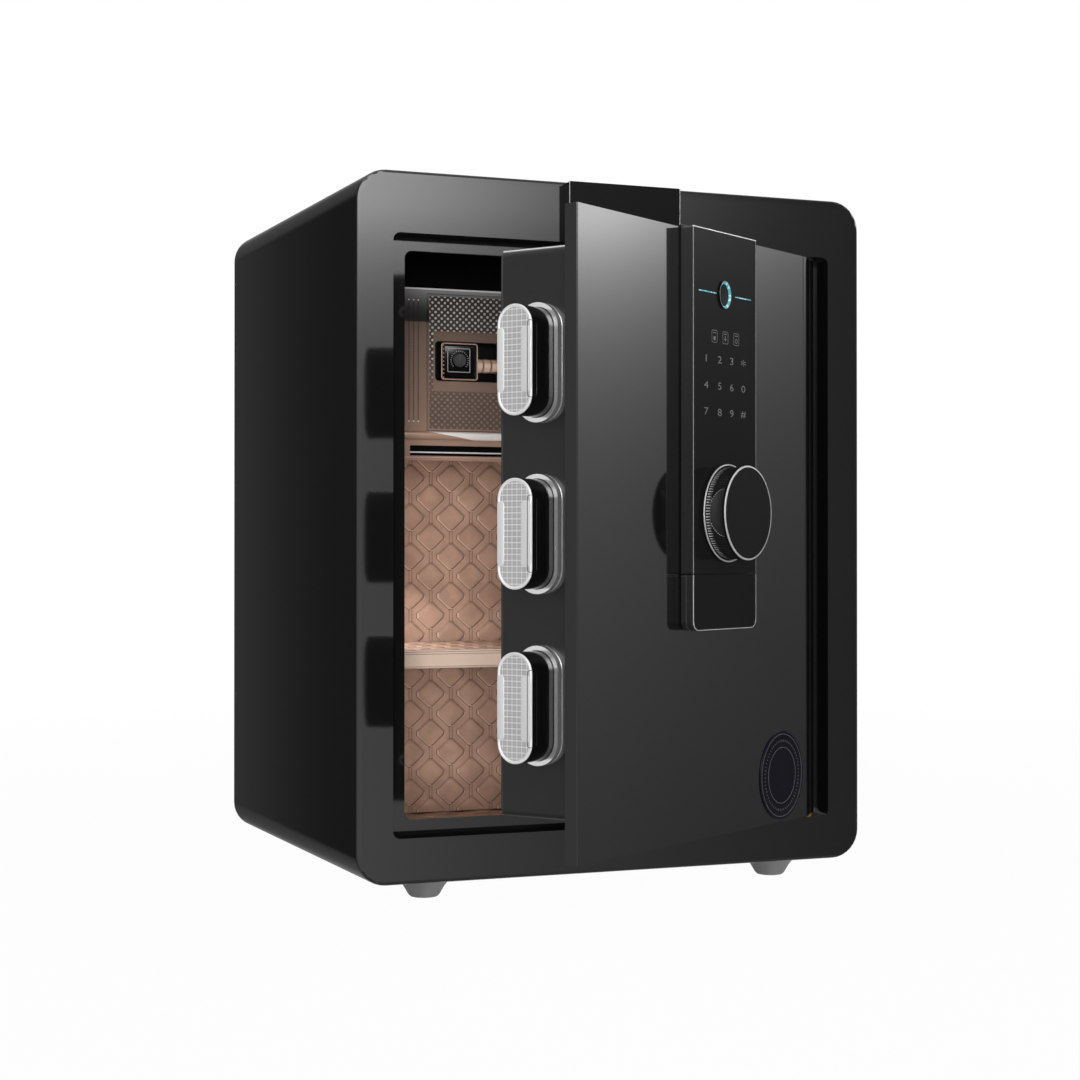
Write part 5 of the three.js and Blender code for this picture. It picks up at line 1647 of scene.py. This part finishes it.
    def knob(self) -> None:
        """The knob: its ring on the panel, the ridged grip, and the cap with its bright rim."""
        # The chrome base ring is painted black as the dark it reflects; the thin bright wire on it paints its edge
        # highlight.
        refined("knob_ring", "knob_base_ring", "door", Finish.KNOB_BLACK, 35)
        path, normal = rounded(60.2, 60.2, 30.09, 24)
        line = carried(path, normal, wire(0.55, 8)).moved(self.middle, -12.1, self.knob_height)
        finished("knob_ring_line", line, LEAF, "door", Finish.RIM, 60)
        self._grip()
        self._serration()
        refined("knob_cap", "knob_lid", "knob", Finish.KNOB_BLACK, 35)
        rim = np.array([[28.3, -26.2], [28.35, -26.42], [29.0, -26.4], [29.3, -26.2], [29.42, -25.95],
                        [29.42, -25.8], [29.1, -25.7], [28.3, -26.2]])
        finished("knob_rim", self._on_axis(turned(rim, 96)), LEAF, "knob", Finish.RIM, 60)

    def _on_axis(self, shape: Shape) -> Shape:
        """A shape drawn about the origin, moved to the knob's axis."""
        return shape.moved(self.middle, 0, self.knob_height)

    def _grip(self) -> None:
        """The grip: a radius with 132 fine ridges, less two smooth scoops.

        A scoop's depth is 3.2 mm times 1 minus the squares of the way round over 15.8 mm and of the way
        back from the front over 9.6 mm. Where it is positive the ridges stop.
        """
        steps, rear, front, radius = 528, -11.0, self.grip_front, self.grip_radius
        angle = np.linspace(0, 2 * math.pi, steps, endpoint=False)[None]
        depth = np.linspace(rear, front, 26)[:, None]
        ridge = 0.45 * np.abs((angle / (2 * math.pi) * 132) % 1 - 0.5) * 2
        round_way = radius * np.minimum(np.abs((angle + math.pi / 2) % math.pi - math.pi / 2), math.pi)
        scoop = 1 - (round_way / self.scoop_half) ** 2 - ((depth - front) / self.scoop_reach) ** 2
        reach = np.where(scoop > 0, radius - 0.25 - self.scoop_cut * scoop, radius - ridge)
        end = np.zeros((1, steps))
        reach = np.concatenate([end, reach, end])
        depth = np.concatenate([depth[:1], depth, depth[-1:]]) + 0 * reach
        points = np.stack([reach * np.cos(angle), depth, reach * np.sin(angle)], -1)
        shape = self._on_axis(grid(points, wrap_columns=True))
        finished("knob_ridges", shape, LEAF, "knob", Finish.GRIP_BLACK, 30, ("knob_grip",))

    def _serration(self) -> None:
        """A thin toothed ring at the foot of the grip: its radius is a triangle wave with 100 teeth; its colour
        paints highlights on the tips and shade in the valleys.
        """
        steps = 600
        angle = np.linspace(0, 2 * math.pi, steps + 1)
        count = angle / (2 * math.pi) * 100
        wave = np.abs(count % 1 - 0.5) * 2
        radius = np.stack([27.9 + 0 * wave, 28.5 + 0.4 * wave, 28.6 + 0.4 * wave, 28.3 + 0.3 * wave,
                           27.9 + 0 * wave])
        depth = np.array([-11.95, -12.0, -13.6, -15.6, -15.7])[:, None] + 0 * angle
        points = np.stack([radius * np.cos(angle), depth, radius * np.sin(angle)], -1)
        share = np.array([0.0, 0.0, 0.35, 0.9, 1.0])[:, None] + 0 * angle
        uv = np.stack([count + 0 * share, share], -1)
        shape = self._on_axis(grid(points, True, False, uv=uv))
        finished("knob_serration", shape, LEAF, "knob", Finish.TEETH, 30)
        self._scoop_edge()

    def _scoop_edge(self) -> None:
        """The dotted edge of each scoop: a fine wire along the ellipse where the scoop's depth is zero, its dots
        painted highlights where the ridges are cut.
        """
        way = np.linspace(0.06, math.pi - 0.06, 61)[:, None]
        turn = np.linspace(0, 2 * math.pi, 7)[None]
        reach, both = 28.35 + 0.22 * np.cos(turn), []
        for start in (0.0, math.pi):
            angle = start + self.scoop_half * np.cos(way) / self.grip_radius
            depth = self.grip_front + self.scoop_reach * np.sin(way) + 0.22 * np.sin(turn)
            points = np.stack([reach * np.cos(angle), depth, reach * np.sin(angle)], -1)
            uv = np.stack([way * 9.5 + 0 * turn, 0.15 + 0 * way + 0 * turn], -1)
            both.append(grid(points, False, False, uv=uv))
        finished("knob_scoop_edge", self._on_axis(joined(both)), LEAF, "knob", Finish.TEETH, 60)

    def build(self) -> None:
        """Builds the panel."""
        # Faces that look more than 25 degrees away from the front take the lighter side copy, which paints the light
        # on the sides.
        for node, name, body in (("panel_glass", "panel_face", "door"), ("panel_case", "panel_back", "door"),
                                 ("key_cover", "key_slide", "key_flap"), ("key_base", "key_plate", "door")):
            refined(node, name, body, Finish.PANEL_GLOSS, 35, 0.0, Finish.PANEL_SIDE, FRONT)
        refined("key_cylinder", "emergency_lock", "door", Finish.STEEL, 35, 0.2)
        self.edges()
        self.keypad()
        self.icons()
        self.sensor()
        self.knob()


def main() -> None:
    """Builds the studio and every sub-assembly in order."""
    logging.basicConfig(level=logging.INFO, format="%(message)s")
    FRAME.update(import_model())
    for part in (Studio(), Cabinet(), Lining(), DrawerModule(), Door(), ControlPanel()):
        LOG.info("building %s", type(part).__name__)
        part.build()
    bpy.context.view_layer.update()


if __name__ == "__main__":
    main()
